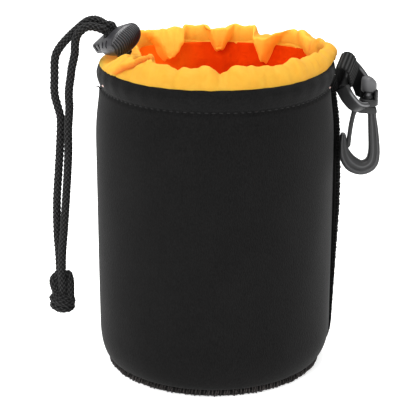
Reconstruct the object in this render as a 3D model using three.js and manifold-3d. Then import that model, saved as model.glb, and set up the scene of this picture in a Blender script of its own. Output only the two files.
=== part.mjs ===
// Neoprene lens pouch with a gathered drawstring collar, a sprung cord lock and a swivel snap hook.
// Millimetres, +Z up, +X towards the snap hook, -Y towards the front.
// The origin is the centre of the underside of the base.
import * as THREE from 'three';
import { mergeVertices } from 'three/addons/utils/BufferGeometryUtils.js';
import Module from 'manifold-3d';

const wasm = await Module();
wasm.setup();

// Gap left between pieces that touch on the real pouch
const seatGap = 0.3;

// Neoprene body
const wallRadius = 45;
const wallHeight = 117;
const wallThickness = 3;
const baseSeamRadius = 41.6;
const baseCornerHeight = 12;
const basePanelThickness = 2.6;
const baseEdgeBulge = 0.3;
const rimBandHeight = 8.5;
const rimStitchDepth = 1.9;
const rimLift = 2.4;
const seamFinHeight = 2.8;
const seamFinHalfWidth = 1.3;
const seamFinGroove = 0.9;
const seamFinTopClearance = 3;

// Nylon lining and collar
const liningThickness = 0.6;
const clothThickness = 0.7;
const collarHeight = 6.6;
const collarSeamDepth = 6;
const collarLegSlit = 0.5;
const channelInset = 4.8;
const channelPlay = 0.65;
const cordExitPull = 9;
const cordExitDrop = 6.2;
const cordExitDropWidth = 24;
const cordExitPullWidth = 27;
const cordExitHalfAngle = 10;
const pleatDroop = 0.45;

// Pleats of the gathered collar: place in degrees round the mouth from +X, depth, half width in degrees
const pleats = [
  [124, 3, 9.5],
  [88, 3, 8.5],
  [60, 3.2, 9],
  [16, 2, 8],
  [-36, 1.8, 8],
  [-60, 2.2, 8],
  [-85, 2.6, 8],
  [-110, 2.8, 8.5],
  [-139, 2, 9],
];

// Drawcord
const cordDiameter = 3.1;
const cordSpacing = 3.5;
const cordSides = 8;

// Cord lock, in its own directions: along the plunger, across it, and along the cord
const lockCentre = new THREE.Vector3(9.7 - wallRadius, -2, wallHeight + 9.6);
const lockCordDirection = new THREE.Vector3(-0.508, -0.153, 0.848);
const lockPlungerDirection = new THREE.Vector3(0.618, -0.75, 0.235);
const lockBackLength = 5;
const lockNoseStart = 4;
const lockNoseLength = 7.9;
const lockHalfWidth = 7.5;
const lockHalfHeight = 4.5;
const lockOvalPower = 2.3;
const lockBackTaper = 0.15;
const lockBackRound = 0.5;
const lockRibCount = 16;
const lockRibDepth = 0.3;
const lockCordPlace = -2.2;
const plungerHalfWidth = 4.4;
const plungerHalfThickness = 2.2;
const plungerReach = 7;
const plungerRound = 0.9;
const plungerTravel = 2.2;
const plungerWebThickness = 1.3;
const plungerGripCount = 2;
const plungerGripPitch = 2.6;
const plungerGripWidth = 0.8;
const plungerGripDepth = 0.6;
const plungerGripLift = 0.8;
const springWireDiameter = 0.4;
const springMeanRadius = 1.25;
const springTurns = 3;
const springPocketDepth = 2;

// Webbing loop, round the crossbar of the snap
const webbingWidth = 9;
const webbingThickness = 1.2;
const webbingLoopHeight = 9.2;
const webbingLoopWidth = 4;
const webbingRootReach = 8;
const webbingRootDrop = 3.6;
const crossbarCentre = new THREE.Vector3(wallRadius + 4.3, -4, wallHeight - 3.4);
const crossbarDirection = new THREE.Vector3(0.33, 0.79, 0.52);
const crossbarDiameter = 2.6;

// Swivel snap hook
const swivelReach = 8.2;
const hubDrop = 8.6;
const hubHeight = 2.6;
const hubRadius = 3.6;
const stemRadius = 2;
const stemClearance = 0.3;
const headRadius = 2.7;
const headHeight = 8;
const eyeArmSpread = 6.6;
const eyeArmBulge = 1.2;
const eyeArmThickness = 2;
const eyeArmWidth = 4.6;
const hookThickness = 4.2;
const hookGroove = 0.5;
const shoulderRound = 0.4;
const hookLength = 29.4;
const gatePivotDrop = 1.5;
const gatePivotOffset = 5.2;
const gateThickness = 1.6;
const gateWidth = 3.4;
const gateEndRadius = 1.1;

const neoprene = new THREE.MeshStandardMaterial({ color: 0x202020, roughness: 0.85, metalness: 0 });
const orangeNylon = new THREE.MeshStandardMaterial({ color: 0xfbab3c, roughness: 0.6, metalness: 0 });
const redLining = new THREE.MeshStandardMaterial({ color: 0xe0480c, roughness: 0.7, metalness: 0 });
const braid = new THREE.MeshStandardMaterial({ color: 0x141414, roughness: 0.8, metalness: 0 });
const blackPlastic = new THREE.MeshStandardMaterial({ color: 0x333334, roughness: 0.45, metalness: 0 });
const springSteel = new THREE.MeshStandardMaterial({ color: 0xb4b6b8, roughness: 0.35, metalness: 1 });

const pouch = new THREE.Group();

function addPiece(name, geometry, material, parent = pouch) {
  const mesh = new THREE.Mesh(geometry, material);
  mesh.name = name;
  parent.add(mesh);
  return mesh;
}

// Geometry helpers

// A closed surface through rows of points. Each row is a closed outline in the plane,
// and place(row, point) gives a point's position in space.
function loft(rows, place, wraps) {
  const count = rows[0].length;
  const positions = [];
  rows.forEach((row, index) => row.forEach((point) => positions.push(...place(index, point).toArray())));
  const faces = [];
  const spans = wraps ? rows.length : rows.length - 1;
  for (let i = 0; i < spans; i += 1) {
    const next = (i + 1) % rows.length;
    for (let k = 0; k < count; k += 1) {
      const a = i * count + k;
      const b = next * count + k;
      const c = next * count + ((k + 1) % count);
      const d = i * count + ((k + 1) % count);
      faces.push(a, b, c, a, c, d);
    }
  }
  if (!wraps) {
    const lastStart = (rows.length - 1) * count;
    for (const [p, q, r] of THREE.ShapeUtils.triangulateShape(rows[0], [])) {
      faces.push(p, q, r);
    }
    for (const [p, q, r] of THREE.ShapeUtils.triangulateShape(rows[rows.length - 1], [])) {
      faces.push(lastStart + p, lastStart + r, lastStart + q);
    }
  }
  const geometry = new THREE.BufferGeometry();
  geometry.setAttribute('position', new THREE.Float32BufferAttribute(positions, 3));
  geometry.setIndex(faces);
  return facingOut(geometry);
}

// Turns every face round if the surface encloses a negative volume.
function facingOut(geometry) {
  const index = geometry.getIndex();
  const position = geometry.getAttribute('position');
  const [a, b, c] = [new THREE.Vector3(), new THREE.Vector3(), new THREE.Vector3()];
  let volume = 0;
  for (let i = 0; i < index.count; i += 3) {
    a.fromBufferAttribute(position, index.getX(i));
    b.fromBufferAttribute(position, index.getX(i + 1));
    c.fromBufferAttribute(position, index.getX(i + 2));
    volume += a.dot(b.cross(c));
  }
  if (volume < 0) {
    const flipped = Array.from(index.array);
    for (let i = 0; i < flipped.length; i += 3) {
      [flipped[i], flipped[i + 1]] = [flipped[i + 1], flipped[i]];
    }
    geometry.setIndex(flipped);
  }
  return geometry;
}

// A tube of a many-sided section along a smooth curve through the points.
function tube(points, radius, sides, steps) {
  const section = new THREE.Shape();
  for (let i = 0; i < sides; i += 1) {
    const turn = (i / sides) * Math.PI * 2;
    const [x, y] = [radius * Math.cos(turn), radius * Math.sin(turn)];
    if (i === 0) {
      section.moveTo(x, y);
    } else {
      section.lineTo(x, y);
    }
  }
  const route = new THREE.CatmullRomCurve3(points, false, 'centripetal');
  return new THREE.ExtrudeGeometry(section, { steps, extrudePath: route, bevelEnabled: false });
}

// An outline pushed out along +Z, centred on z = 0, with its edges rounded off.
function plate(outline, thickness, round, curveSegments = 6) {
  const geometry = new THREE.ExtrudeGeometry(outline, {
    depth: thickness - 2 * round,
    bevelEnabled: round > 0,
    bevelThickness: round,
    bevelSize: round,
    bevelOffset: -round,
    bevelSegments: 2,
    curveSegments,
  });
  return geometry.translate(0, 0, round - thickness / 2);
}

function cylinder(radius, low, high, sides) {
  const geometry = new THREE.CylinderGeometry(radius, radius, high - low, sides);
  return geometry.rotateX(Math.PI / 2).translate(0, 0, (low + high) / 2);
}

function block(lowCorner, highCorner) {
  const size = [0, 1, 2].map((i) => highCorner[i] - lowCorner[i]);
  const middle = [0, 1, 2].map((i) => (highCorner[i] + lowCorner[i]) / 2);
  return new THREE.BoxGeometry(...size).translate(...middle);
}

function solid(geometry) {
  const bare = geometry.clone();
  bare.deleteAttribute('normal');
  bare.deleteAttribute('uv');
  const merged = mergeVertices(bare, 1e-4);
  const corners = merged.getIndex().array;
  const triVerts = [];
  for (let i = 0; i < corners.length; i += 3) {
    const [a, b, c] = corners.subarray(i, i + 3);
    if (a !== b && b !== c && c !== a) {
      triVerts.push(a, b, c);
    }
  }
  return new wasm.Manifold(new wasm.Mesh({
    numProp: 3,
    vertProperties: new Float32Array(merged.getAttribute('position').array),
    triVerts: new Uint32Array(triVerts),
  }));
}

function surface(manifold) {
  const mesh = manifold.getMesh();
  const geometry = new THREE.BufferGeometry();
  geometry.setAttribute('position', new THREE.Float32BufferAttribute(mesh.vertProperties, 3));
  geometry.setIndex(Array.from(mesh.triVerts));
  return geometry;
}

function degrees(value) {
  return THREE.MathUtils.degToRad(value);
}

// Smallest turn between two angles in degrees, from -180 to 180
function turnBetween(first, second) {
  return ((first - second + 540) % 360) - 180;
}

function roundMouth(angle, radius, height) {
  return new THREE.Vector3(radius * Math.cos(degrees(angle)), radius * Math.sin(degrees(angle)), height);
}

// Body: one neoprene panel closed by a side seam, whose two raw edges stand out as a fin

const wallFoot = basePanelThickness + seatGap;
const stitchHeight = wallHeight - rimBandHeight;
const seamFinTop = stitchHeight - seamFinTopClearance;

// The rim stands a little higher at both sides than at the front and back.
function rimRise(angle, height) {
  const share = THREE.MathUtils.smoothstep(height, stitchHeight - 2 * rimBandHeight, wallHeight);
  return rimLift * share * Math.cos(degrees(angle)) ** 4;
}

// Outer face of the wall from the base seam to the rim, as radius and height
function wallProfile(inset) {
  const straightFrom = wallFoot + baseCornerHeight;
  const draw = wallRadius - baseSeamRadius;
  const points = [];
  const cornerSteps = 4;
  for (let i = 0; i <= cornerSteps; i += 1) {
    const turn = (i / cornerSteps) * (Math.PI / 2);
    const radius = baseSeamRadius + draw * Math.sin(turn);
    points.push([radius - inset, wallFoot + baseCornerHeight * (1 - Math.cos(turn))]);
  }
  points.push([wallRadius - inset, (straightFrom + stitchHeight) / 2]);
  points.push([wallRadius - inset, stitchHeight - 1.4 * rimBandHeight]);
  return points;
}

const rimInnerRadius = wallRadius - rimStitchDepth - wallThickness + 0.6;
const rimOuter = [
  [wallRadius - rimStitchDepth / 2, stitchHeight - 0.45 * rimBandHeight],
  [wallRadius - rimStitchDepth, stitchHeight],
  [wallRadius - 0.5 * rimStitchDepth, stitchHeight + 0.25 * rimBandHeight],
  [wallRadius - 0.25 * rimStitchDepth, stitchHeight + 0.55 * rimBandHeight],
  [wallRadius - 0.5 * rimStitchDepth, stitchHeight + 0.86 * rimBandHeight],
  [(wallRadius + rimInnerRadius) / 2 + 0.4, wallHeight],
  [rimInnerRadius + 0.5, wallHeight - 0.3],
  [rimInnerRadius, wallHeight - 0.2 * rimBandHeight],
  [rimInnerRadius, stitchHeight - 0.45 * rimBandHeight],
];

// Height of the seam fin across its width: two folded edges with the stitch groove between them
function finHeightAt(offset) {
  const across = Math.abs(offset);
  if (across > seamFinHalfWidth) {
    return 0;
  }
  return across < 0.2 * seamFinHalfWidth ? seamFinHeight - seamFinGroove : seamFinHeight;
}

const wallAngles = [];
for (let angle = 6; angle < 355; angle += 6) {
  wallAngles.push(angle);
}
const finShares = [-1.15, -0.99, -0.45, -0.15, 0.15, 0.45, 0.99, 1.15];
const finHalfAngle = THREE.MathUtils.radToDeg(seamFinHalfWidth / wallRadius);
const finAngles = finShares.map((share) => share * finHalfAngle);
const allWallAngles = [...finAngles, ...wallAngles];

function wallRow(angle) {
  const offset = degrees(turnBetween(angle, 0)) * wallRadius;
  const fin = finHeightAt(offset);
  const row = [];
  for (const [radius, height] of wallProfile(0)) {
    const inside = height > wallFoot + 1 && height < seamFinTop;
    row.push(new THREE.Vector2(radius + (inside ? fin : 0), height));
  }
  for (const [radius, height] of rimOuter) {
    row.push(new THREE.Vector2(radius, height + rimRise(angle, height)));
  }
  for (const [radius, height] of wallProfile(wallThickness).reverse()) {
    row.push(new THREE.Vector2(radius, height));
  }
  return row;
}

const wallRows = allWallAngles.map(wallRow);
const wallPlace = (index, point) => roundMouth(allWallAngles[index], point.x, point.y);
addPiece('outer_wall', loft(wallRows, wallPlace, true), neoprene);

function lathe(profile, steps) {
  const points = profile.map(([radius, height]) => new THREE.Vector2(radius, height));
  const geometry = new THREE.LatheGeometry(points, steps);
  return geometry.rotateX(Math.PI / 2);
}

addPiece('base_panel', lathe([
  [0, 0],
  [baseSeamRadius - 1.2, 0],
  [baseSeamRadius + 0.7 * baseEdgeBulge, 0.3 * basePanelThickness],
  [baseSeamRadius + baseEdgeBulge, 0.65 * basePanelThickness],
  [baseSeamRadius - 0.4, basePanelThickness],
  [0, basePanelThickness],
], 48), neoprene);

// Lining: a nylon tube inside the wall and a disc on the base

const liningInset = wallThickness + seatGap;
const baseLiningTop = wallFoot + liningThickness;
const collarSeamHeight = wallHeight - collarSeamDepth;
const baseLiningRadius = baseSeamRadius - liningInset;
addPiece('base_lining', lathe([
  [0, wallFoot],
  [baseLiningRadius, wallFoot],
  [baseLiningRadius, baseLiningTop],
  [0, baseLiningTop],
], 48), redLining);

const liningFoot = baseLiningTop + seatGap;
const liningTop = collarSeamHeight - seatGap;
const liningNeckRadius = rimInnerRadius - seatGap;
function liningProfile(inset) {
  const onWall = wallProfile(liningInset + inset).filter(([, height]) => height > liningFoot);
  const foot = [onWall[0][0] - 0.8, liningFoot];
  const neck = stitchHeight - 0.5 * rimBandHeight;
  return [foot, ...onWall, [liningNeckRadius - inset, neck], [liningNeckRadius - inset, liningTop]];
}
const liningSteps = 36;
const liningOutline = [...liningProfile(0), ...liningProfile(liningThickness).reverse()];
const liningRow = liningOutline.map((point) => new THREE.Vector2(...point));
const liningRows = Array.from({ length: liningSteps }, () => liningRow);
const liningPlace = (index, point) => roundMouth((index / liningSteps) * 360, point.x, point.y);
addPiece('wall_lining', loft(liningRows, liningPlace, true), redLining);

// Collar: nylon folded over the drawcord, gathered into pleats and open where the cord comes out

const channelRadius = wallRadius - channelInset;
const channelOuter = cordDiameter / 2 + channelPlay + clothThickness;
const channelInner = cordDiameter / 2 + channelPlay;
const collarSeat = rimInnerRadius - seatGap;

function pleatDepth(angle) {
  let depth = 0;
  for (const [place, deep, width] of pleats) {
    depth += deep * Math.exp(-((turnBetween(angle, place) / width) ** 2));
  }
  return depth;
}

function channelCentre(angle) {
  const depth = pleatDepth(angle);
  const fromExit = turnBetween(angle, 180);
  const pull = cordExitPull * Math.exp(-((fromExit / cordExitPullWidth) ** 2));
  const drop = cordExitDrop * Math.exp(-((fromExit / cordExitDropWidth) ** 2));
  const top = wallHeight + rimRise(angle, wallHeight) + collarHeight - drop;
  return new THREE.Vector2(channelRadius - depth - pull, top - channelOuter - pleatDroop * depth);
}

// Arc over the top of a circle, from the tangent of the outer leg to the tangent of the inner leg
function arcOver(centre, radius, outerFoot, innerFoot) {
  const steps = 5;
  const tangent = (foot, side) => {
    const reach = foot.clone().sub(centre);
    return Math.atan2(reach.y, reach.x) + side * Math.acos(radius / reach.length());
  };
  const start = tangent(outerFoot, 1);
  let end = tangent(innerFoot, -1);
  if (end < start) {
    end += 2 * Math.PI;
  }
  return Array.from({ length: steps + 1 }, (_, i) => {
    const turn = start + ((end - start) * i) / steps;
    return new THREE.Vector2(centre.x + radius * Math.cos(turn), centre.y + radius * Math.sin(turn));
  });
}

function collarRow(angle) {
  const centre = channelCentre(angle);
  const rise = rimRise(angle, wallHeight);
  const bend = wallHeight + rise + seatGap;
  const legs = [0, clothThickness, clothThickness + collarLegSlit, 2 * clothThickness + collarLegSlit];
  const [outerFace, outerInside, innerInside, innerFace] = legs.map((inset) => collarSeat - inset);
  const foot = (radius, height) => new THREE.Vector2(radius, height);
  const outside = arcOver(centre, channelOuter, foot(outerFace, bend), foot(innerFace, collarSeamHeight));
  const inside = arcOver(centre, channelInner, foot(outerInside, bend), foot(innerInside, collarSeamHeight));
  return [
    foot(outerFace, collarSeamHeight),
    foot(outerFace, bend),
    ...outside,
    foot(innerFace, collarSeamHeight),
    foot(innerInside, collarSeamHeight),
    ...inside.reverse(),
    foot(outerInside, bend),
    foot(outerInside, collarSeamHeight),
  ];
}

const collarSteps = 68;
const collarSpan = 360 - 2 * cordExitHalfAngle;
const collarAngle = (index) => cordExitHalfAngle - 180 + (collarSpan * index) / collarSteps;
const collarRows = Array.from({ length: collarSteps + 1 }, (_, index) => collarRow(collarAngle(index)));
const collarPlace = (index, point) => roundMouth(collarAngle(index), point.x, point.y);
addPiece('drawstring_collar', loft(collarRows, collarPlace, false), orangeNylon);

// Cord lock: a ribbed body with a sprung plunger that pinches the two strands

const cordUp = lockCordDirection.clone().normalize();
const plungerOut = lockPlungerDirection.clone().projectOnPlane(cordUp).normalize();
const lockAcross = cordUp.clone().cross(plungerOut);
const lockFrame = new THREE.Group();
lockFrame.position.copy(lockCentre);
lockFrame.quaternion.setFromRotationMatrix(new THREE.Matrix4().makeBasis(plungerOut, lockAcross, cordUp));
pouch.add(lockFrame);

function lockPoint(along, across, up) {
  return lockCentre.clone()
    .addScaledVector(plungerOut, along)
    .addScaledVector(lockAcross, across)
    .addScaledVector(cordUp, up);
}

// Section of the barrel at a place across it: a flat back, a smooth top and bottom, and a bulging nose
function lockRow(across, ribDepth) {
  const share = Math.abs(across) / lockHalfWidth;
  const height = lockHalfHeight * Math.max(1 - share ** lockOvalPower, 0.004) ** (1 / lockOvalPower);
  const bulge = (lockNoseLength - lockNoseStart) * Math.max(1 - share ** 2, 0) ** 0.6;
  const round = Math.min(lockBackRound, 0.4 * height);
  const row = [
    new THREE.Vector2(-lockBackLength, round - height),
    new THREE.Vector2(round - lockBackLength, -height),
  ];
  for (const rise of [-1, -0.94, -0.7, -0.36, 0, 0.36, 0.7, 0.94, 1]) {
    const depth = Math.abs(rise) < 0.95 ? Math.min(ribDepth, 0.3 * bulge) : 0;
    row.push(new THREE.Vector2(lockNoseStart + bulge * (1 - Math.abs(rise) ** 2.2) - depth, rise * height));
  }
  row.push(new THREE.Vector2(round - lockBackLength, height));
  row.push(new THREE.Vector2(-lockBackLength, height - round));
  return row;
}

// The ribbed barrel, row by row across it, tapered towards its back
function lockBlock() {
  const rowsPerRib = 4;
  const count = lockRibCount * rowsPerRib;
  const places = Array.from({ length: count + 1 }, (_, i) => ((2 * i) / count - 1) * 0.995 * lockHalfWidth);
  const rows = places.map((across, i) => {
    const onRib = i % rowsPerRib === 1 || i % rowsPerRib === 2;
    return lockRow(across, onRib ? 0 : lockRibDepth);
  });
  const place = (index, point) => {
    const back = Math.max(lockNoseStart - point.x, 0) / (lockNoseStart + lockBackLength);
    const taper = 1 - lockBackTaper * back ** 2;
    return new THREE.Vector3(point.x, taper * places[index], taper * point.y);
  };
  return loft(rows, place, false);
}

// Slot with round ends for the two strands, longer along the plunger by the given amounts
function strandSlot(backRoom, noseRoom, height) {
  const reach = cordDiameter / 2;
  const halfAcross = cordSpacing / 2 + reach + seatGap;
  const corner = 0.9 * reach;
  const [left, right] = [lockCordPlace - reach - backRoom, lockCordPlace + reach + noseRoom];
  const outline = new THREE.Shape();
  outline.moveTo(left + corner, -halfAcross);
  outline.lineTo(right - corner, -halfAcross);
  outline.absarc(right - corner, corner - halfAcross, corner, -Math.PI / 2, 0);
  outline.absarc(right - corner, halfAcross - corner, corner, 0, Math.PI / 2);
  outline.absarc(left + corner, halfAcross - corner, corner, Math.PI / 2, Math.PI);
  outline.absarc(left + corner, corner - halfAcross, corner, Math.PI, 1.5 * Math.PI);
  return plate(outline, height, 0, 4);
}

const plungerInner = lockCordPlace + cordDiameter / 2 + seatGap + plungerWebThickness;
const bayEnd = plungerInner + plungerTravel + seatGap;
const springPocketEnd = bayEnd + springPocketDepth;
const bayHalfWidth = plungerHalfWidth + seatGap;
const bayHalfThickness = plungerHalfThickness + seatGap;
const springPocketRadius = springMeanRadius + springWireDiameter / 2 + seatGap;
const alongPlunger = (radius, low, high) => cylinder(radius, low, high, 16).rotateY(Math.PI / 2);

const lockBay = block(
  [-lockBackLength - 2, -bayHalfWidth, -bayHalfThickness],
  [bayEnd, bayHalfWidth, bayHalfThickness],
);
const lockBody = solid(lockBlock())
  .subtract(solid(lockBay))
  .subtract(solid(alongPlunger(springPocketRadius, bayEnd - 1, springPocketEnd)))
  .subtract(solid(strandSlot(seatGap, seatGap, 4 * lockHalfHeight)));
addPiece('cord_lock_body', surface(lockBody), blackPlastic, lockFrame);

const plungerOuterEnd = -lockBackLength - plungerReach;
const plungerShoulder = plungerOuterEnd + plungerRound;
const plungerCorner = plungerHalfWidth - plungerRound;
const plungerOutline = new THREE.Shape();
plungerOutline.moveTo(plungerInner, -plungerHalfWidth);
plungerOutline.lineTo(plungerInner, plungerHalfWidth);
plungerOutline.lineTo(plungerShoulder, plungerHalfWidth);
plungerOutline.quadraticCurveTo(plungerOuterEnd, plungerHalfWidth, plungerOuterEnd, plungerCorner);
plungerOutline.lineTo(plungerOuterEnd, -plungerCorner);
plungerOutline.quadraticCurveTo(plungerOuterEnd, -plungerHalfWidth, plungerShoulder, -plungerHalfWidth);
let plunger = solid(plate(plungerOutline, 2 * plungerHalfThickness, 0.4, 3))
  .subtract(solid(strandSlot(plungerTravel + seatGap, seatGap, 4 * plungerHalfThickness)));
for (let i = 0; i < plungerGripCount; i += 1) {
  const along = plungerOuterEnd + 1.2 * plungerGripPitch + i * plungerGripPitch;
  for (const side of [-1, 1]) {
    const groove = new THREE.BoxGeometry(plungerGripWidth, 2 * plungerGripDepth, 2 * plungerHalfThickness);
    plunger = plunger.subtract(solid(groove.translate(along, side * plungerHalfWidth, plungerGripLift)));
  }
}
addPiece('cord_lock_plunger', surface(plunger), blackPlastic, lockFrame);

// Spring: one unbroken curl of wire between the plunger and the end of its pocket
const springLow = plungerInner + seatGap + springWireDiameter / 2;
const springHigh = springPocketEnd - seatGap - springWireDiameter / 2;
const springStepsPerTurn = 8;
const springPoints = Array.from({ length: springTurns * springStepsPerTurn + 1 }, (_, i) => {
  const turn = (i / springStepsPerTurn) * 2 * Math.PI;
  const along = springLow + ((springHigh - springLow) * i) / (springTurns * springStepsPerTurn);
  return new THREE.Vector3(along, springMeanRadius * Math.cos(turn), springMeanRadius * Math.sin(turn));
});
let springGap = Infinity;
springPoints.forEach((point, i) => springPoints.forEach((other, j) => {
  if (j - i >= springStepsPerTurn / 2) {
    springGap = Math.min(springGap, point.distanceTo(other) - springWireDiameter);
  }
}));
console.log(`least gap between the turns of the lock spring: ${springGap.toFixed(2)} mm`);
const springWire = tube(springPoints, springWireDiameter / 2, 5, springPoints.length - 1);
addPiece('cord_lock_spring', springWire, springSteel, lockFrame);

// Drawcord: one loop through the collar, two strands through the lock, two free tails and their knot

const strandAbove = lockHalfHeight + 0.8;
function strandPoint(side, up) {
  return lockPoint(lockCordPlace, (side * cordSpacing) / 2, up);
}

function channelPoint(angle) {
  const centre = channelCentre(angle);
  return roundMouth(angle, centre.x, centre.y);
}

const loopPoints = [];
loopPoints.push(strandPoint(-1, strandAbove));
loopPoints.push(strandPoint(-1, 0));
loopPoints.push(strandPoint(-1, -lockHalfHeight - 0.4));
const loopSteps = 60;
const loopTubeSteps = 84;
for (let i = 0; i <= loopSteps; i += 1) {
  const spare = cordExitHalfAngle - 1;
  loopPoints.push(channelPoint(spare - 180 + ((360 - 2 * spare) * i) / loopSteps));
}
loopPoints.push(strandPoint(1, -lockHalfHeight - 0.4));
loopPoints.push(strandPoint(1, 0));
loopPoints.push(strandPoint(1, strandAbove));
addPiece('drawcord_loop', tube(loopPoints, cordDiameter / 2, cordSides, loopTubeSteps), braid);

// Routes of the free tails from the lock down to the knot, chosen by hand, from the lock's centre
const frontTail = [
  [-6.6, -1.9, 4.5],
  [-8.2, -2.2, 5.1],
  [-10, -2.4, 5.5],
  [-11.8, -2.6, 5.4],
  [-13.6, -2.7, 4.4],
  [-15.5, -2.6, 2.3],
  [-16.4, -2.6, -1],
  [-16.6, -2.6, -4.3],
  [-17.2, -2.6, -7.1],
  [-17.9, -2.6, -10],
  [-18.4, -2.6, -13.4],
  [-19, -2.7, -17],
  [-19.3, -2.7, -20.7],
  [-19.2, -2.7, -24.6],
  [-19.5, -2.7, -28.6],
  [-19.9, -2.7, -33.4],
  [-20.1, -2.7, -41.4],
  [-20.6, -2.7, -49.3],
  [-21.6, -2.8, -61.2],
  [-22.7, -2.8, -73.3],
  [-23.7, -2.8, -82.9],
  [-24.1, -2.8, -92.6],
];
const rearTail = [
  [-5, 1, 5.6],
  [-6.7, 1, 6.6],
  [-8.4, 1, 7.3],
  [-10.2, 1, 7.4],
  [-12.5, 1, 6.6],
  [-15.5, 1.2, 4.2],
  [-18.8, 1.1, 1.2],
  [-21.7, 1, -1.9],
  [-23.7, 0.9, -4.9],
  [-24.5, 0.9, -7.8],
  [-24.7, 0.8, -11],
  [-24.8, 0.7, -14.8],
  [-25, 0.6, -17.9],
  [-24.8, 0.5, -21.5],
  [-23.9, 0.5, -25.3],
  [-23, 0.5, -29.4],
  [-23.1, 0.5, -34.2],
  [-23.7, 0.5, -42.5],
  [-24.4, 0.5, -50.6],
  [-25.4, 0.5, -62.3],
  [-25.7, 0.5, -74.6],
  [-25.3, 0.5, -84.8],
  [-25.2, 0.5, -92.9],
];
const tailSteps = 36;
function tailPoints(side, route) {
  const start = [strandPoint(side, strandAbove + seatGap), strandPoint(side, strandAbove + 0.7)];
  return [...start, ...route.map((point) => new THREE.Vector3(...point).add(lockCentre))];
}
const tail = (side, route) => tube(tailPoints(side, route), cordDiameter / 2, cordSides, tailSteps);
addPiece('drawcord_tail_front', tail(-1, frontTail), braid);
addPiece('drawcord_tail_rear', tail(1, rearTail), braid);

// Knot: both tails tied together in one overhand knot, a trefoil pulled tight
const knotCentre = new THREE.Vector3(-24.5, -1.2, -99.3).add(lockCentre);
const knotStretch = new THREE.Vector3(1.08, 1.35, 2.25);
const knotStrandRadius = 1.9;
const knotCoreShare = 2.4;
const knotFlare = 0.35;
function knotPoint(turn) {
  const lift = Math.cos(turn) - 2 * Math.cos(2 * turn);
  const flare = 1 + knotFlare * Math.max(-lift, 0);
  return new THREE.Vector3(
    knotCentre.x + flare * knotStretch.x * (Math.sin(turn) + 2 * Math.sin(2 * turn)),
    knotCentre.y - knotStretch.y * Math.sin(3 * turn),
    knotCentre.z + knotStretch.z * lift,
  );
}
const knotArcs = 3;
const knotCore = new THREE.SphereGeometry(knotCoreShare, 12, 10);
knotCore.scale(knotStretch.x, knotStretch.y, knotStretch.z);
let knot = solid(knotCore.translate(knotCentre.x, knotCentre.y, knotCentre.z));
for (let arc = 0; arc < knotArcs; arc += 1) {
  const points = Array.from({ length: 12 }, (_, i) => knotPoint(((arc + i / 10) / knotArcs) * 2 * Math.PI));
  knot = knot.add(solid(tube(points, knotStrandRadius, 8, 14)));
}
addPiece('drawcord_knot', surface(knot), braid);

// Webbing loop: a tape sewn into the top of the side seam, standing round the snap's crossbar

const across = crossbarDirection.clone().normalize();
const loopUp = new THREE.Vector3(0, 0, 1).addScaledVector(across, -across.z).normalize();
const loopOut = loopUp.clone().cross(across);
const webbingFrame = new THREE.Group();
webbingFrame.position.copy(crossbarCentre);
webbingFrame.quaternion.setFromRotationMatrix(new THREE.Matrix4().makeBasis(loopOut, loopUp, across));
pouch.add(webbingFrame);

// Stadium standing on its end: round below, round above, straight legs between
function stadium(path, halfWidth, low, high) {
  path.moveTo(halfWidth, low + halfWidth);
  path.lineTo(halfWidth, high - halfWidth);
  path.absarc(0, high - halfWidth, halfWidth, 0, Math.PI);
  path.lineTo(-halfWidth, low + halfWidth);
  path.absarc(0, low + halfWidth, halfWidth, Math.PI, 2 * Math.PI);
  return path;
}
const loopInnerLow = -crossbarDiameter / 2 - seatGap;
const loopInnerHalf = webbingLoopWidth / 2;
const webbingOutline = stadium(
  new THREE.Shape(),
  loopInnerHalf + webbingThickness,
  loopInnerLow - webbingThickness,
  loopInnerLow + webbingLoopHeight + webbingThickness,
);
const webbingHole = stadium(new THREE.Path(), loopInnerHalf, loopInnerLow, loopInnerLow + webbingLoopHeight);
webbingOutline.holes.push(webbingHole);

// Root: the two layers of the tape run on from the loop to the wall and stop short of it
const webbingRoot = new THREE.Shape();
webbingRoot.moveTo(-0.6, loopInnerLow - 0.9 * webbingThickness);
webbingRoot.lineTo(loopInnerHalf, loopInnerLow + 0.2 * webbingThickness);
webbingRoot.lineTo(webbingRootReach, loopInnerLow - webbingRootDrop + webbingThickness);
webbingRoot.lineTo(webbingRootReach, loopInnerLow - webbingRootDrop - webbingThickness);
const wallClear = [...wallProfile(0), ...rimOuter.slice(0, 5)]
  .map(([radius, height]) => [radius + seatGap, height + rimRise(0, height)]);
const wallCore = lathe([[0, wallFoot], ...wallClear, [0, wallClear[wallClear.length - 1][1]]], 72);
const finClear = block(
  [0, -seamFinHalfWidth - 1, wallFoot],
  [wallRadius + seamFinHeight + seatGap, seamFinHalfWidth + 1, seamFinTop + 3 * seatGap],
);
const inWebbingFrame = (geometry) => geometry.applyMatrix4(webbingFrame.matrixWorld.clone().invert());
webbingFrame.updateMatrixWorld(true);
const webbing = solid(plate(webbingOutline, webbingWidth, 0.25, 6))
  .add(solid(plate(webbingRoot, webbingWidth, 0.2, 1)))
  .subtract(solid(inWebbingFrame(wallCore)))
  .subtract(solid(inWebbingFrame(finClear)));
addPiece('webbing_loop', surface(webbing), neoprene, webbingFrame);

// Swivel eye: crossbar, two bowed arms and a hub with an upright bore

const swivelX = crossbarCentre.x + swivelReach;
const swivelY = crossbarCentre.y;
const hubTop = crossbarCentre.z - hubDrop;
const hookBottom = hubTop - hookLength;

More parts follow.
